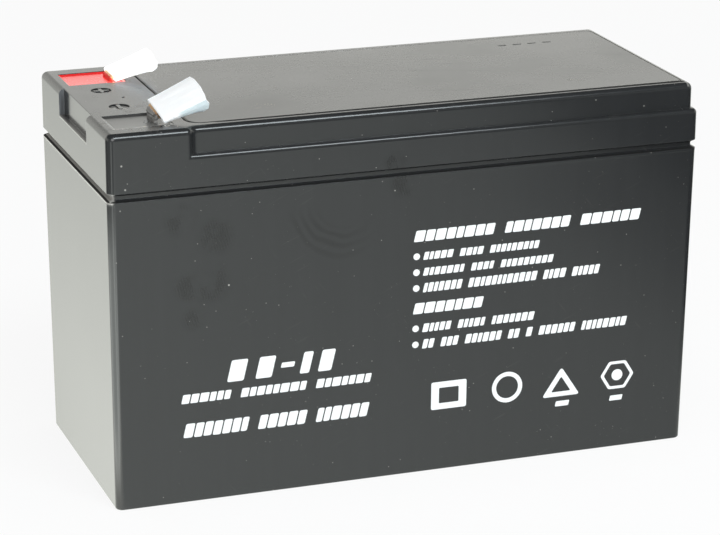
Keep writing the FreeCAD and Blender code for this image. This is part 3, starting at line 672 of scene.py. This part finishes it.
class BATTERY_OT_blades(Operator):
    """Dress the blades: copper shows where each sleeve starts, soot and potting cover the bend below it"""

    bl_idname = "battery.blades"
    bl_label = "Blades"

    TIN = (0.50, 0.49, 0.46, 1.0)
    TARNISH = (0.34, 0.33, 0.31, 1.0)
    COPPER = (0.95, 0.62, 0.36, 1.0)
    # what has crept up over each blade's bend
    BELOW = {"negative": (0.23, 0.225, 0.215, 1.0), "positive": (0.80, 0.03, 0.02, 1.0)}

    def execute(self, context):
        for kind, seat in SLEEVE_SEATS.items():
            dress(f"{kind}_tab", self.plated(kind, seat))
        return {"FINISHED"}

    def plated(self, kind, seat):
        """Tin plate, worn to copper in a narrow strip, and covered below it."""
        material, shader = new_material(f"plated_{kind}_blade")
        place = shader.place()
        level = shader.along(place, seat["end"], lean_axes(seat)[0])
        brushed = shader.noise(shader.stretched(place, (500.0, 4200.0, 500.0)), 1.0, 3.0, 0.6)
        tarnish = shader.noise(place, 420.0, 4.0, 0.65).step(0.45, 0.66)
        patchy = shader.noise(place, 900.0, 3.0, 0.7)
        covered = (level + patchy * 0.9).step(0.0, -0.18)
        soot = shader.reach(place, (-61.4, -24.4, 93.2)).step(3.6, 2.4) * patchy.step(0.40, 0.56)
        coat = Coat(shader, place, self.TIN, brushed * 0.18 + 0.22)
        coat.lay(tarnish, self.TARNISH, 0.5, 0.2)
        coat.lay(level.step(0.6, 0.2), self.COPPER)
        coat.lay(covered, self.BELOW[kind], 1.0, 0.2)
        coat.lay(soot, SOOT_AND_SHADE, 0.9)
        shader.surface(Base_Color=coat.colour, Metallic=1.0 - covered, Roughness=coat.rough.held(),
                       Normal=shader.bumped(brushed, 0.12, 0.03, shader.rounded_edges(0.1)))
        return material


def soft_solid(name, colour, second, scale, roughness, depth_mm, metallic=0.0):
    """Dull mottled material for the parts inside."""
    material, shader = new_material(name)
    place = shader.place()
    mottle = shader.noise(place, scale, 4.0, 0.65)
    fine = shader.noise(place, scale * 9.0, 2.0, 0.6)
    tinted = shader.blend(mottle.step(0.32, 0.68), rgba(colour), rgba(second))
    rough = roughness + mottle * 0.14 - 0.07
    shader.surface(Base_Color=tinted, Roughness=rough.held(0.05, 1.0), Metallic=metallic,
                   Normal=shader.bumped(fine * 0.6 + mottle * 0.4, 0.4, depth_mm))
    return material


class BATTERY_OT_inside(Operator):
    """Dress the plates, separators, straps, valves and bond inside the case"""

    bl_idname = "battery.inside"
    bl_label = "Inside"

    def execute(self, context):
        brown = soft_solid("brown_paste", (0.20, 0.11, 0.07), (0.13, 0.065, 0.04), 260.0, 0.85, 0.2)
        grey = soft_solid("grey_paste", (0.35, 0.36, 0.37), (0.25, 0.26, 0.28), 260.0, 0.80, 0.2)
        mat = soft_solid("glass_mat", (0.90, 0.90, 0.88), (0.78, 0.78, 0.75), 700.0, 0.95, 0.3)
        lead = soft_solid("cast_lead", (0.36, 0.37, 0.39), (0.24, 0.25, 0.27), 160.0, 0.50, 0.1, metallic=0.8)
        rubber = soft_solid("valve_rubber", (0.06, 0.06, 0.06), (0.04, 0.04, 0.042), 300.0, 0.75, 0.05)
        bond = soft_solid("lid_adhesive", (0.12, 0.12, 0.12), (0.08, 0.08, 0.08), 200.0, 0.5, 0.1)
        for cell in CELLS:
            dress(f"positive_plates_{cell}", brown)
            dress(f"negative_plates_{cell}", grey)
            dress(f"separators_{cell}", mat)
            dress(f"valve_cap_{cell}", rubber)
        for link in LINKS:
            dress(f"cell_link_{link}_{link + 1}", lead)
        for kind in SLEEVE_SEATS:
            dress(f"{kind}_post", lead)
            dress(f"{kind}_gasket", rubber)
        dress("lid_bond", bond)
        return {"FINISHED"}


class FrontPrint:
    """Collects flat shapes in the front's x and z, and lays them on the case as one thin film."""

    CORNER_STEPS = 3
    SINK = 0.01
    WORD_SPACE = 1.05
    LETTER_WIDTHS = (0.82, 1.0, 1.0, 1.12)
    LETTER_GAP = 0.34

    def __init__(self, slant, ink):
        self.slant = math.tan(slant)
        self.ink = ink
        self.points = []
        self.faces = []
        self.front = surface_tree("case")

    def on_case(self, x, z, proud):
        """Point over the case's front, in millimetres."""
        start = Vector((x, 2.0 * CASE_LOW.y, z)) * MM
        hit = self.front.ray_cast(start, Vector((0.0, 1.0, 0.0)))[0]
        if hit is None:
            raise RuntimeError("the print misses the case")
        return (x, hit.y / MM - proud, z)

    def film(self, outer, inner=None):
        """Thin closed film inside an outer loop, or between it and an inner loop of as many points."""
        first, count = len(self.points), len(outer)
        layers = [(outer, self.ink), (outer, -self.SINK)]
        if inner:
            layers[1:1] = [(inner, self.ink), (inner, -self.SINK)]
        for loop, proud in layers:
            self.points += [self.on_case(x, z, proud) for x, z in loop]
        self.faces += ring_faces(first, len(layers), count, closed=bool(inner))
        if not inner:
            self.faces += [list(range(start, start + count)) for start in (first, first + count)]

    def rounded_loop(self, corners, radius):
        """Closed loop with each corner rounded off."""
        loop = []
        for number, corner in enumerate(corners):
            here = Vector(corner)
            before = Vector(corners[number - 1]) - here
            after = Vector(corners[(number + 1) % len(corners)]) - here
            reach = min(radius, before.length / 2.2, after.length / 2.2)
            start = here + before.normalized() * reach
            end = here + after.normalized() * reach
            for step in range(self.CORNER_STEPS + 1):
                share = step / self.CORNER_STEPS
                loop.append(tuple(start.lerp(here, share).lerp(here.lerp(end, share), share)))
        return loop

    def block(self, left, right, low, high, radius=0.22):
        """Leaning block."""
        lean = self.slant * (high - low)
        corners = [(left, low), (right - lean, low), (right, high), (left + lean, high)]
        self.film(self.rounded_loop(corners, radius))

    def frame(self, corners, share, radius=0.5):
        """Outline band: the same shape scaled about its middle makes the inner edge."""
        middle = sum((Vector(corner) for corner in corners), Vector((0.0, 0.0))) / len(corners)
        inner = [tuple(middle.lerp(Vector(corner), share)) for corner in corners]
        self.film(self.rounded_loop(corners, radius), self.rounded_loop(inner, radius * share))

    def disc(self, x, z, radius, hole=None, steps=40):
        """Filled disc, or a ring where it has a hole."""
        ways = [2 * math.pi * step / steps for step in range(steps)]
        outer, inner = ([(x + size * math.cos(way), z + size * math.sin(way)) for way in ways]
                        for size in (radius, hole or 0.0))
        self.film(outer, inner if hole else None)

    def words(self, left, right, low, high, lengths, draw):
        """A line of words as rows of plain blocks, one block to a letter's width."""
        height = high - low
        widths = [[draw.choice(self.LETTER_WIDTHS) for _ in range(length)] for length in lengths]
        total = sum(sum(word) for word in widths) + self.WORD_SPACE * (len(lengths) - 1)
        lean = self.slant * height
        unit = (right - left - lean) / total
        gap = min(self.LETTER_GAP, 0.2 * unit)
        x = left
        for word in widths:
            for width in word:
                rise = draw.uniform(-0.01, 0.01) * height
                self.block(x, x + width * unit - gap + lean, low + rise, high + rise, 0.12 * height)
                x += width * unit
            x += self.WORD_SPACE * unit

    def mesh(self, name):
        """The print as one mesh."""
        return mesh_from(name, self.points, self.faces)


class BATTERY_OT_front_print(Operator):
    """Lay the white print on the front: rows of plain blocks, bullets and simple signs"""

    bl_idname = "battery.front_print"
    bl_label = "Front print"

    LINES = [
        # left, right, low, high, blocks in each word
        (-58.49, -9.63, 25.73, 28.02, (6, 8, 7)),
        (-58.08, -10.11, 16.87, 20.45, (7, 5, 6)),
        (0.45, 61.16, 60.60, 63.44, (8, 7, 6)),
        (2.95, 34.00, 55.82, 57.81, (5, 4, 9)),
        (2.96, 37.89, 51.74, 53.73, (7, 4, 9)),
        (2.97, 50.54, 47.46, 49.85, (7, 12, 4, 5)),
        (0.49, 19.50, 41.98, 44.77, (7,)),
        (2.99, 33.25, 37.10, 39.29, (5, 5, 7)),
        (3.00, 58.53, 32.82, 35.21, (2, 3, 6, 2, 1, 6, 8)),
    ]
    BULLETS = [(1.26, 56.82), (1.27, 52.73), (1.28, 48.65), (1.30, 38.19), (1.31, 34.01)]
    BULLET_RADIUS = 0.85
    BLOCKS = [
        # left, right, low, high, corner radius: the large row with its dash, and the bars under two signs
        (-47.01, -41.59, 30.02, 35.5, 0.5),
        (-39.89, -34.52, 30.02, 35.5, 0.5),
        (-28.65, -24.96, 30.02, 35.5, 0.5),
        (-23.97, -19.29, 30.02, 35.5, 0.5),
        (-33.42, -29.74, 32.11, 33.41, 0.3),
        (39.17, 43.15, 13.0, 14.4, 0.3),
        (54.1, 57.88, 12.71, 14.1, 0.3),
    ]
    SQUARE = [(5.72, 16.19), (15.07, 16.19), (15.07, 23.46), (5.72, 23.46)]
    TRIANGLE = [(35.58, 15.69), (45.83, 15.69), (40.69, 23.46)]
    RING_CENTRE, RING_RADII = (26.02, 19.87), (4.08, 2.94)
    NUT_CENTRE, NUT_REACH, NUT_DISC = (56.07, 19.58), (4.58, 4.28), 1.5

    def execute(self, context):
        looks = context.scene.battery_finishes
        sizes = context.scene.battery_sizes
        draw = random.Random(sizes.seed)
        front = FrontPrint(sizes.ink_slant, sizes.ink_height / MM)
        for left, right, low, high, lengths in self.LINES:
            front.words(left, right, low, high, lengths, draw)
        for x, z in self.BULLETS:
            front.disc(x, z, self.BULLET_RADIUS, steps=28)
        for row in self.BLOCKS:
            front.block(*row)
        front.frame(self.SQUARE, 0.56)
        front.disc(*self.RING_CENTRE, *self.RING_RADII, steps=56)
        front.frame(self.TRIANGLE, 0.52, 0.9)
        turns = [math.radians(60 * side) for side in range(6)]
        front.frame([(self.NUT_CENTRE[0] + self.NUT_REACH[0] * math.cos(turn),
                      self.NUT_CENTRE[1] + self.NUT_REACH[1] * math.sin(turn)) for turn in turns], 0.8)
        front.disc(*self.NUT_CENTRE, self.NUT_DISC, steps=32)
        add_piece("front_print", front.mesh("front_print"), self.ink(looks.print_colour))
        return {"FINISHED"}

    @staticmethod
    def ink(colour):
        """White ink, worn thin in places."""
        material, shader = new_material("white_ink")
        place = shader.place()
        worn = shader.noise(place, 2400.0, 3.0, 0.7).step(0.66, 0.74)
        worn = worn * shader.noise(place, 150.0).step(0.5, 0.7)
        fine = shader.noise(place, 3000.0)
        shader.surface(Base_Color=shader.blend(worn * 0.7, rgba(colour), (0.20, 0.20, 0.20, 1.0)),
                       Roughness=fine * 0.15 + 0.38, Normal=shader.bumped(fine, 0.2, 0.02))
        return material


class Sleeve:
    """Flattened tube pinched on the blade, opening towards its mouth."""

    STATIONS = 22
    SIDES = 12
    ROUNDNESS = 0.24
    OPENING_POWER = 1.35

    # Corners of the section as (across, normal), from the far fold over the top to the near fold and back
    BASE = [(5.30, 0.0), (4.9, 0.60), (2.0, 0.84), (-2.2, 0.84), (-4.6, 0.74), (-5.40, 0.52), (-5.66, 0.0),
            (-5.5, -0.48), (-5.0, -0.78), (-2.0, -0.84), (2.2, -0.84), (4.9, -0.60)]
    MOUTH = [(6.45, 0.0), (5.7, 0.85), (3.2, 1.62), (-1.0, 1.80), (-4.6, 1.74), (-6.62, 1.62), (-6.74, 0.3),
             (-6.6, -1.0), (-6.1, -1.66), (-2.0, -1.78), (3.0, -1.62), (6.0, -0.72)]
    # Length of the sheet at each corner, as a share of the sleeve's own
    END = [0.985, 0.975, 1.0, 1.0, 0.965, 0.925, 0.968, 0.93, 0.80, 0.90, 0.93, 0.96]
    # Ripples of the sheet: height, and radians in each millimetre across and along
    RIPPLES = [(0.014, 2.1, 0.25), (0.008, 4.3, 0.0)]

    def __init__(self, seat, wall, phases):
        self.seat = seat
        self.wall = wall
        self.phases = phases

    def smooth(self, corners):
        """Closed loop through a ring of corners, straight between them but for a share of a uniform cubic."""
        loop = []
        for number in range(len(corners)):
            around = [corners[(number + offset - 1) % len(corners)] for offset in range(4)]
            for step in range(self.SIDES):
                t = step / self.SIDES
                weights = ((1 - t) ** 3 / 6, (3 * t ** 3 - 6 * t ** 2 + 4) / 6,
                           (-3 * t ** 3 + 3 * t ** 2 + 3 * t + 1) / 6, t ** 3 / 6)
                cubic = [sum(weight * value for weight, value in zip(weights, values))
                         for values in zip(*around)]
                straight = [here * (1 - t) + there * t for here, there in zip(around[1], around[2])]
                loop.append([curved * self.ROUNDNESS + plain * (1 - self.ROUNDNESS)
                             for curved, plain in zip(cubic, straight)])
        return loop

    def section(self, share):
        """Outer loop at a share of the length, as (along, across, normal)."""
        opening = share ** self.OPENING_POWER
        corners = []
        for base, mouth, end in zip(self.BASE, self.MOUTH, self.END):
            reach = share * self.seat["length"] * (1 + (end - 1) * share ** 3)
            corners.append((reach, *(low + (high - low) * opening for low, high in zip(base, mouth))))
        loop = []
        for along, across, normal in self.smooth(corners):
            ripple = sum(height * math.sin(across * over + along * on + phase)
                         for (height, over, on), phase in zip(self.RIPPLES, self.phases))
            loop.append((along, across, normal + ripple * min(1.0, share * 2)))
        return loop

    def inner(self, loop):
        """The loop moved in by the wall."""
        moved = []
        for number, here in enumerate(loop):
            before, after = loop[number - 1], loop[(number + 1) % len(loop)]
            run = Vector((after[1] - before[1], after[2] - before[2])).normalized() * self.wall
            moved.append((here[0], here[1] - run.y, here[2] + run.x))
        return moved

    def lip(self, outer, inner, way):
        """Loop half-way through the wall, a little past its end."""
        past = way * self.wall * 0.3
        return [(a[0] + past, (a[1] + b[1]) / 2, (a[2] + b[2]) / 2) for a, b in zip(outer, inner)]

    def mesh(self, name):
        """The sleeve with its wall, and a rounded lip at each end."""
        along, across, normal = lean_axes(self.seat)
        origin = Vector(self.seat["end"])
        outer = [self.section(step / (self.STATIONS - 1)) for step in range(self.STATIONS)]
        inner = [self.inner(loop) for loop in outer]
        base, mouth = self.lip(outer[0], inner[0], -1), self.lip(outer[-1], inner[-1], 1)
        rings = [base, *outer, mouth, *reversed(inner)]
        points = [origin + along * u + across * v + normal * n for ring in rings for u, v, n in ring]
        return mesh_from(name, points, ring_faces(0, len(rings), len(rings[0])))


class BATTERY_OT_sleeves(Operator):
    """Make the two translucent sleeves on the blades"""

    bl_idname = "battery.sleeves"
    bl_label = "Blade sleeves"

    # How strongly the painted shade on the near fold shows, and the strength of each sleeve's painted glow
    FOLD_SHADE = {"negative": 1.0, "positive": 0.3}
    GLOW = {"negative": 0.07, "positive": 0.75}
    # Draws made for each sleeve. Its ripples start at the first of them
    PHASES = 6

    def execute(self, context):
        looks = context.scene.battery_finishes
        sizes = context.scene.battery_sizes
        draw = random.Random(sizes.seed + 1)
        for kind, seat in SLEEVE_SEATS.items():
            name = f"{kind}_blade_sleeve"
            phases = [draw.uniform(0.0, 6.28) for _ in range(self.PHASES)]
            mesh = Sleeve(seat, sizes.sleeve_wall / MM, phases).mesh(name)
            piece = add_piece(name, mesh, self.milky(kind, seat, looks.sleeve_colour), 40.0)
            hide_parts(f"{kind}_sleeve")
        return {"FINISHED"}

    def milky(self, kind, seat, tint):
        """Milky soft plastic with a painted glow, and painted bluish shade on its near fold and along its
        sides.
        """
        material, shader = new_material(f"milky_{kind}_sleeve")
        place = shader.place()
        along, across, _ = lean_axes(seat)
        run, side = (shader.along(place, seat["end"], way) for way in (along, across))
        facing = shader.dot(shader.geometry("True Normal"), tuple(across))
        # the near fold faces away from the light and takes painted shade; the sheet's sides take painted
        # bluish shade too
        fold = facing.step(-0.45, -0.65) * run.step(3.2, 5.0) * self.FOLD_SHADE[kind]
        side_shade = (side.step(3.0, 5.5) + side.step(-3.6, -5.4)) * (1.0 - fold)
        streaks = shader.noise(shader.stretched(place, (60.0, 900.0, 60.0)), 1.0, 3.0, 0.6)
        clouds = shader.noise(place, 240.0, 3.0, 0.6)
        darkening = shader.noise(place, 800.0, 4.0, 0.7).step(0.62, 0.78)
        coat = Coat(shader, place, rgba(tint), streaks * 0.16 + clouds * 0.08 + 0.26)
        # random cloudy tint, and painted bluish shade along the sides
        coat.lay(clouds.step(0.3, 0.7) * 0.3 + side_shade * 0.5, (0.90, 0.95, 0.98, 1.0))
        coat.lay(darkening, (0.55, 0.50, 0.42, 1.0), 0.06)
        # painted shade on the near fold
        coat.lay(fold, (0.63, 0.73, 0.76, 1.0))
        # painted glow: warm white, and dim and bluish on the near fold
        painted_glow = shader.blend(fold, (1.0, 0.985, 0.965, 1.0), (0.30, 0.35, 0.38, 1.0))
        shader.surface(Base_Color=coat.colour, Roughness=coat.rough, IOR=1.45, Transmission_Weight=0.04,
                       Alpha=(clouds * 0.04 + 0.96).held(), Emission_Color=painted_glow,
                       Emission_Strength=self.GLOW[kind], Subsurface_Weight=0.3, Subsurface_Scale=1.0,
                       Subsurface_Radius=(0.0012, 0.0013, 0.0015), Normal=shader.bumped(streaks, 0.06, 0.05))
        return material


class BATTERY_OT_flakes(Operator):
    """Scatter the chips and crumbs round the negative blade, and the grains of dust on the cover"""

    bl_idname = "battery.flakes"
    bl_label = "Flakes"

    # name, colour, centre, spread, count, size range
    KINDS = [
        ("pale_chips", (0.80, 0.76, 0.68), (-59.6, -28.4), (2.6, 0.7), 9, (0.16, 0.42)),
        ("copper_flakes", (0.78, 0.33, 0.14), (-62.0, -26.6), (1.4, 1.9), 9, (0.12, 0.30)),
        ("dark_crumbs", (0.02, 0.02, 0.02), (-62.2, -23.5), (2.4, 4.5), 22, (0.12, 0.34)),
        ("left_dust", (0.75, 0.70, 0.58), (-32.0, -17.5), (2.4, 1.6), 12, (0.10, 0.26)),
        ("right_dust", (0.75, 0.70, 0.58), (47.8, -18.9), (1.8, 1.2), 9, (0.10, 0.24)),
    ]
    ABOVE = 120.0
    FRONT_LIMIT, REAR_LIMIT = -29.9, -10.0

    def execute(self, context):
        draw = random.Random(context.scene.battery_sizes.seed + 2)
        trees = [surface_tree(node) for node in ("lid", "vent_cover", "negative_seal")]
        for name, colour, centre, spread, count, reach in self.KINDS:
            work = bmesh.new()
            for _ in range(count):
                x = draw.gauss(centre[0], spread[0] * 0.5)
                y = min(max(draw.gauss(centre[1], spread[1] * 0.5), self.FRONT_LIMIT), self.REAR_LIMIT)
                self.add_crumb(work, x, y, draw.uniform(*reach), trees, draw)
            mesh = bpy.data.meshes.new(name)
            work.to_mesh(mesh)
            work.free()
            material, shader = new_material(name)
            mottle = shader.noise(shader.place(), 2600.0, 3.0, 0.6)
            shader.surface(Base_Color=shader.blend(mottle, rgba(colour), rgba(colour, 0.55)),
                           Roughness=mottle * 0.3 + 0.4, Normal=shader.bumped(mottle, 0.4, 0.05))
            add_piece(name, mesh, material)
        return {"FINISHED"}

    def add_crumb(self, work, x, y, size, trees, draw):
        """One uneven crumb, lying on whatever is under it."""
        start = Vector((x, y, self.ABOVE)) * MM
        hits = [tree.ray_cast(start, Vector((0.0, 0.0, -1.0)))[0] for tree in trees]
        top = max((hit.z for hit in hits if hit is not None), default=None)
        if top is None:
            raise RuntimeError("a flake misses the top of the battery")
        crumb = bmesh.ops.create_icosphere(work, subdivisions=1, radius=size * MM / 2)
        turn = Euler([draw.uniform(0.0, 6.28) for _ in range(3)]).to_matrix()
        flat = Matrix.Diagonal((1.0, draw.uniform(0.5, 0.9), draw.uniform(0.3, 0.6)))
        for vertex in crumb["verts"]:
            jitter = Vector([draw.uniform(-0.16, 0.16) for _ in range(3)]) * size * MM
            vertex.co = flat @ (turn @ vertex.co + jitter)
            vertex.co += Vector((x * MM, y * MM, top + size * MM * 0.12))


def area_lamp(name, place, target, size, power, colour=(1.0, 1.0, 1.0)):
    """A soft rectangular lamp that points at a target."""
    lamp = bpy.data.lights.new(name, "AREA")
    lamp.color = colour
    lamp.shape = "RECTANGLE"
    lamp.size, lamp.size_y = size
    lamp.energy = power
    thing = bpy.data.objects.new(name, lamp)
    thing.location = place
    thing.rotation_euler = (Vector(target) - Vector(place)).to_track_quat("-Z", "Y").to_euler()
    thing.visible_camera = False
    bpy.context.scene.collection.objects.link(thing)


class BATTERY_OT_stage(Operator):
    """Set the floor, the light and the camera"""

    bl_idname = "battery.stage"
    bl_label = "Stage"

    FLOOR_HALF = 6.0
    WHITE = (1.0, 1.0, 1.0, 1.0)
    # What the lamps are aimed at
    MIDDLE = (0.0, 0.0, 0.05)
    TOP = (0.0, 0.0, 0.08)

    def execute(self, context):
        studio = context.scene.battery_studio
        self.add_floor(studio)
        self.light_world(studio)
        area_lamp("overhead_lamp", (0.18, -0.76, 0.88), self.TOP, (0.50, 0.34), studio.key_power,
                  (0.88, 0.96, 1.0))
        area_lamp("front_lamp", (-0.55, -1.70, 0.95), self.MIDDLE, (1.2, 1.2), studio.front_power)
        area_lamp("back_lamp", (0.80, 1.35, 0.40), self.MIDDLE, (1.3, 1.0), studio.back_power)
        self.set_camera()
        context.scene.view_settings.view_transform = "Standard"
        return {"FINISHED"}

    def add_floor(self, studio):
        """A wide pale floor that keeps the object's shadow."""
        half = self.FLOOR_HALF
        mesh = bpy.data.meshes.new("floor")
        mesh.from_pydata([(-half, -half, 0.0), (half, -half, 0.0), (half, half, 0.0), (-half, half, 0.0)], [],
                         [(0, 1, 2, 3)])
        material, shader = new_material("pale_floor")
        camera = shader.add("ShaderNodeLightPath", None, None, "Is Camera Ray")
        glossy, through = camera.part("Is Glossy Ray"), camera.part("Is Transmission Ray")
        mirrored, tint = self.mirrored_floor(shader, studio.table_glow)
        shine = shader.add("ShaderNodeEmission", None, {"Color": shader.blend(glossy, self.WHITE, tint),
                                                        "Strength": glossy * mirrored + through + camera})
        cast = shader.add("ShaderNodeBsdfDiffuse", None, {"Color": (0.90, 0.90, 0.90, 1.0)})
        seen = (glossy + through + camera * studio.floor_white).held()
        mixed = shader.add("ShaderNodeMixShader", None, {0: seen, 1: cast, 2: shine})
        shader.add("ShaderNodeOutputMaterial", None, {"Surface": mixed})
        mesh.materials.append(material)
        floor = bpy.data.objects.new("floor", mesh)
        bpy.context.scene.collection.objects.link(floor)

    @staticmethod
    def mirrored_floor(shader, table_glow):
        """Brightness and tint of the floor in glossy faces. Right and back run from the near corner."""
        place = shader.place()
        x, y = (shader.axis(place, name) for name in "XY")
        right, back = x - CASE_LOW.x * MM, y - CASE_LOW.y * MM
        away = shader.reach(place, (*CASE_LOW.xy, 0.0))

        # what the front mirrors: paler at the left, darker past the right end, and plain white behind
        nearer = x.step(0.09, 0.15) * y.step(-0.275, -0.25) * 0.36
        front = (1.17 - x * 3.0 - x.step(0.162, 0.176) * 0.52 - nearer).held(0.02, 1.6)
        rear = y.step(0.03, 0.08)
        beside = x.step(-0.10, -0.14)
        front = (front * (1.0 - rear) + rear) * (1.0 - beside * 0.75)

        # what the end mirrors: a brighter table, falling off across it
        at_end = (right * 0.943 + (back - 0.0025) * 0.334 + away * 0.00012).step(-0.05, -0.005)
        at_end = at_end * x.step(-0.07, -0.076)
        across = (back + right * 3.86).held(0.0, 0.08)
        table = (table_glow + (x + 0.09) * 6.0).held(1.2, table_glow) - across * 4.5
        mirrored = front * (1.0 - at_end) + at_end * table

        # a wedge off the near corner for the case's upright edge, and a patch off the end for the lid's edges
        ahead = right * -0.65 + back * -0.76
        aside = (right * 0.76 + back * -0.65).size()
        facing = right * -0.94 + back * -0.34 - away * 0.00035
        mirrored = mirrored + (ahead * 0.16 - aside).step(-0.004, 0.012) * 1.8
        mirrored = mirrored + facing.step(0.0, 0.018) * away.step(240.0, 170.0) * 3.0
        return mirrored, shader.blend(at_end, (0.955, 1.0, 0.95, 1.0), (0.977, 1.0, 0.93, 1.0))

    def light_world(self, studio):
        """White for the camera, even light, and for reflections a room that is bright low down and behind."""
        world = bpy.data.worlds.new("studio")
        world.use_nodes = True
        bpy.context.scene.world = world
        shader = Shader(world.node_tree)
        camera = shader.add("ShaderNodeLightPath", None, None, "Is Camera Ray")
        glossy, through = camera.part("Is Glossy Ray"), camera.part("Is Transmission Ray")
        way = shader.add("ShaderNodeTexCoord", None, None, "Generated")
        low = shader.axis(way, "Z").step(0.48, 0.34)
        behind = shader.axis(way, "Y").step(-0.45, 0.15) * 0.8 + 0.2
        beside = shader.axis(way, "X").step(0.14, -0.05) * 0.16 + 1.0
        room = low * behind * beside * 1.12 + 0.04
        seen = (camera + through).held()
        strength = seen + glossy * room + (1.0 - (seen + glossy).held()) * studio.sky
        tint = shader.blend(glossy, self.WHITE, (1.0, 1.0, 0.935, 1.0))
        light = shader.add("ShaderNodeBackground", None, {"Color": tint, "Strength": strength})
        shader.add("ShaderNodeOutputWorld", None, {"Surface": light})

    @staticmethod
    def set_camera():
        """The photograph's point of view."""
        data = bpy.data.cameras.new("camera")
        data.lens = CAMERA_LENS
        data.sensor_width = SENSOR_WIDTH
        data.clip_start = 0.01
        data.clip_end = 50.0
        camera = bpy.data.objects.new("camera", data)
        stand = Matrix.Translation(CAMERA_PLACE_M)
        for angle, axis in ((CAMERA_AZIMUTH, "Z"), (90.0 - CAMERA_ELEVATION, "X"), (CAMERA_ROLL, "Z")):
            stand = stand @ Matrix.Rotation(math.radians(angle), 4, axis)
        camera.matrix_world = stand
        bpy.context.scene.collection.objects.link(camera)
        bpy.context.scene.camera = camera


class BATTERY_PT_looks(Panel):
    """Lists the battery's properties and the steps that make its looks"""

    bl_label = "Battery looks"
    bl_idname = "BATTERY_PT_looks"
    bl_space_type = "VIEW_3D"
    bl_region_type = "UI"
    bl_category = "Battery"

    def draw(self, context):
        layout = self.layout
        for name, group in GROUPS.items():
            box = layout.box()
            for value in group.__annotations__:
                box.prop(getattr(context.scene, name), value)
        for step in STEPS:
            layout.operator(step.bl_idname)


STEPS = [BATTERY_OT_stage, BATTERY_OT_case_and_lid, BATTERY_OT_vent_cover, BATTERY_OT_potting,
         BATTERY_OT_blades, BATTERY_OT_inside, BATTERY_OT_front_print, BATTERY_OT_sleeves, BATTERY_OT_flakes]
GROUPS = {"battery_finishes": BATTERY_PG_finishes, "battery_sizes": BATTERY_PG_sizes,
          "battery_studio": BATTERY_PG_studio}
CLASSES = [*GROUPS.values(), *STEPS, BATTERY_PT_looks]


def register():
    """Makes the classes and their properties known to Blender."""
    for kind in CLASSES:
        bpy.utils.register_class(kind)
    for name, group in GROUPS.items():
        setattr(bpy.types.Scene, name, PointerProperty(type=group))


def unregister():
    """Takes back what register did."""
    for name in GROUPS:
        delattr(bpy.types.Scene, name)
    for kind in reversed(CLASSES):
        bpy.utils.unregister_class(kind)


def main():
    """Makes every piece in order."""
    register()
    bpy.ops.battery.stage()
    bpy.ops.battery.case_and_lid()
    bpy.ops.battery.vent_cover()
    bpy.ops.battery.potting()
    bpy.ops.battery.blades()
    bpy.ops.battery.inside()
    bpy.ops.battery.front_print()
    bpy.ops.battery.sleeves()
    bpy.ops.battery.flakes()


if __name__ == "__main__":
    main()
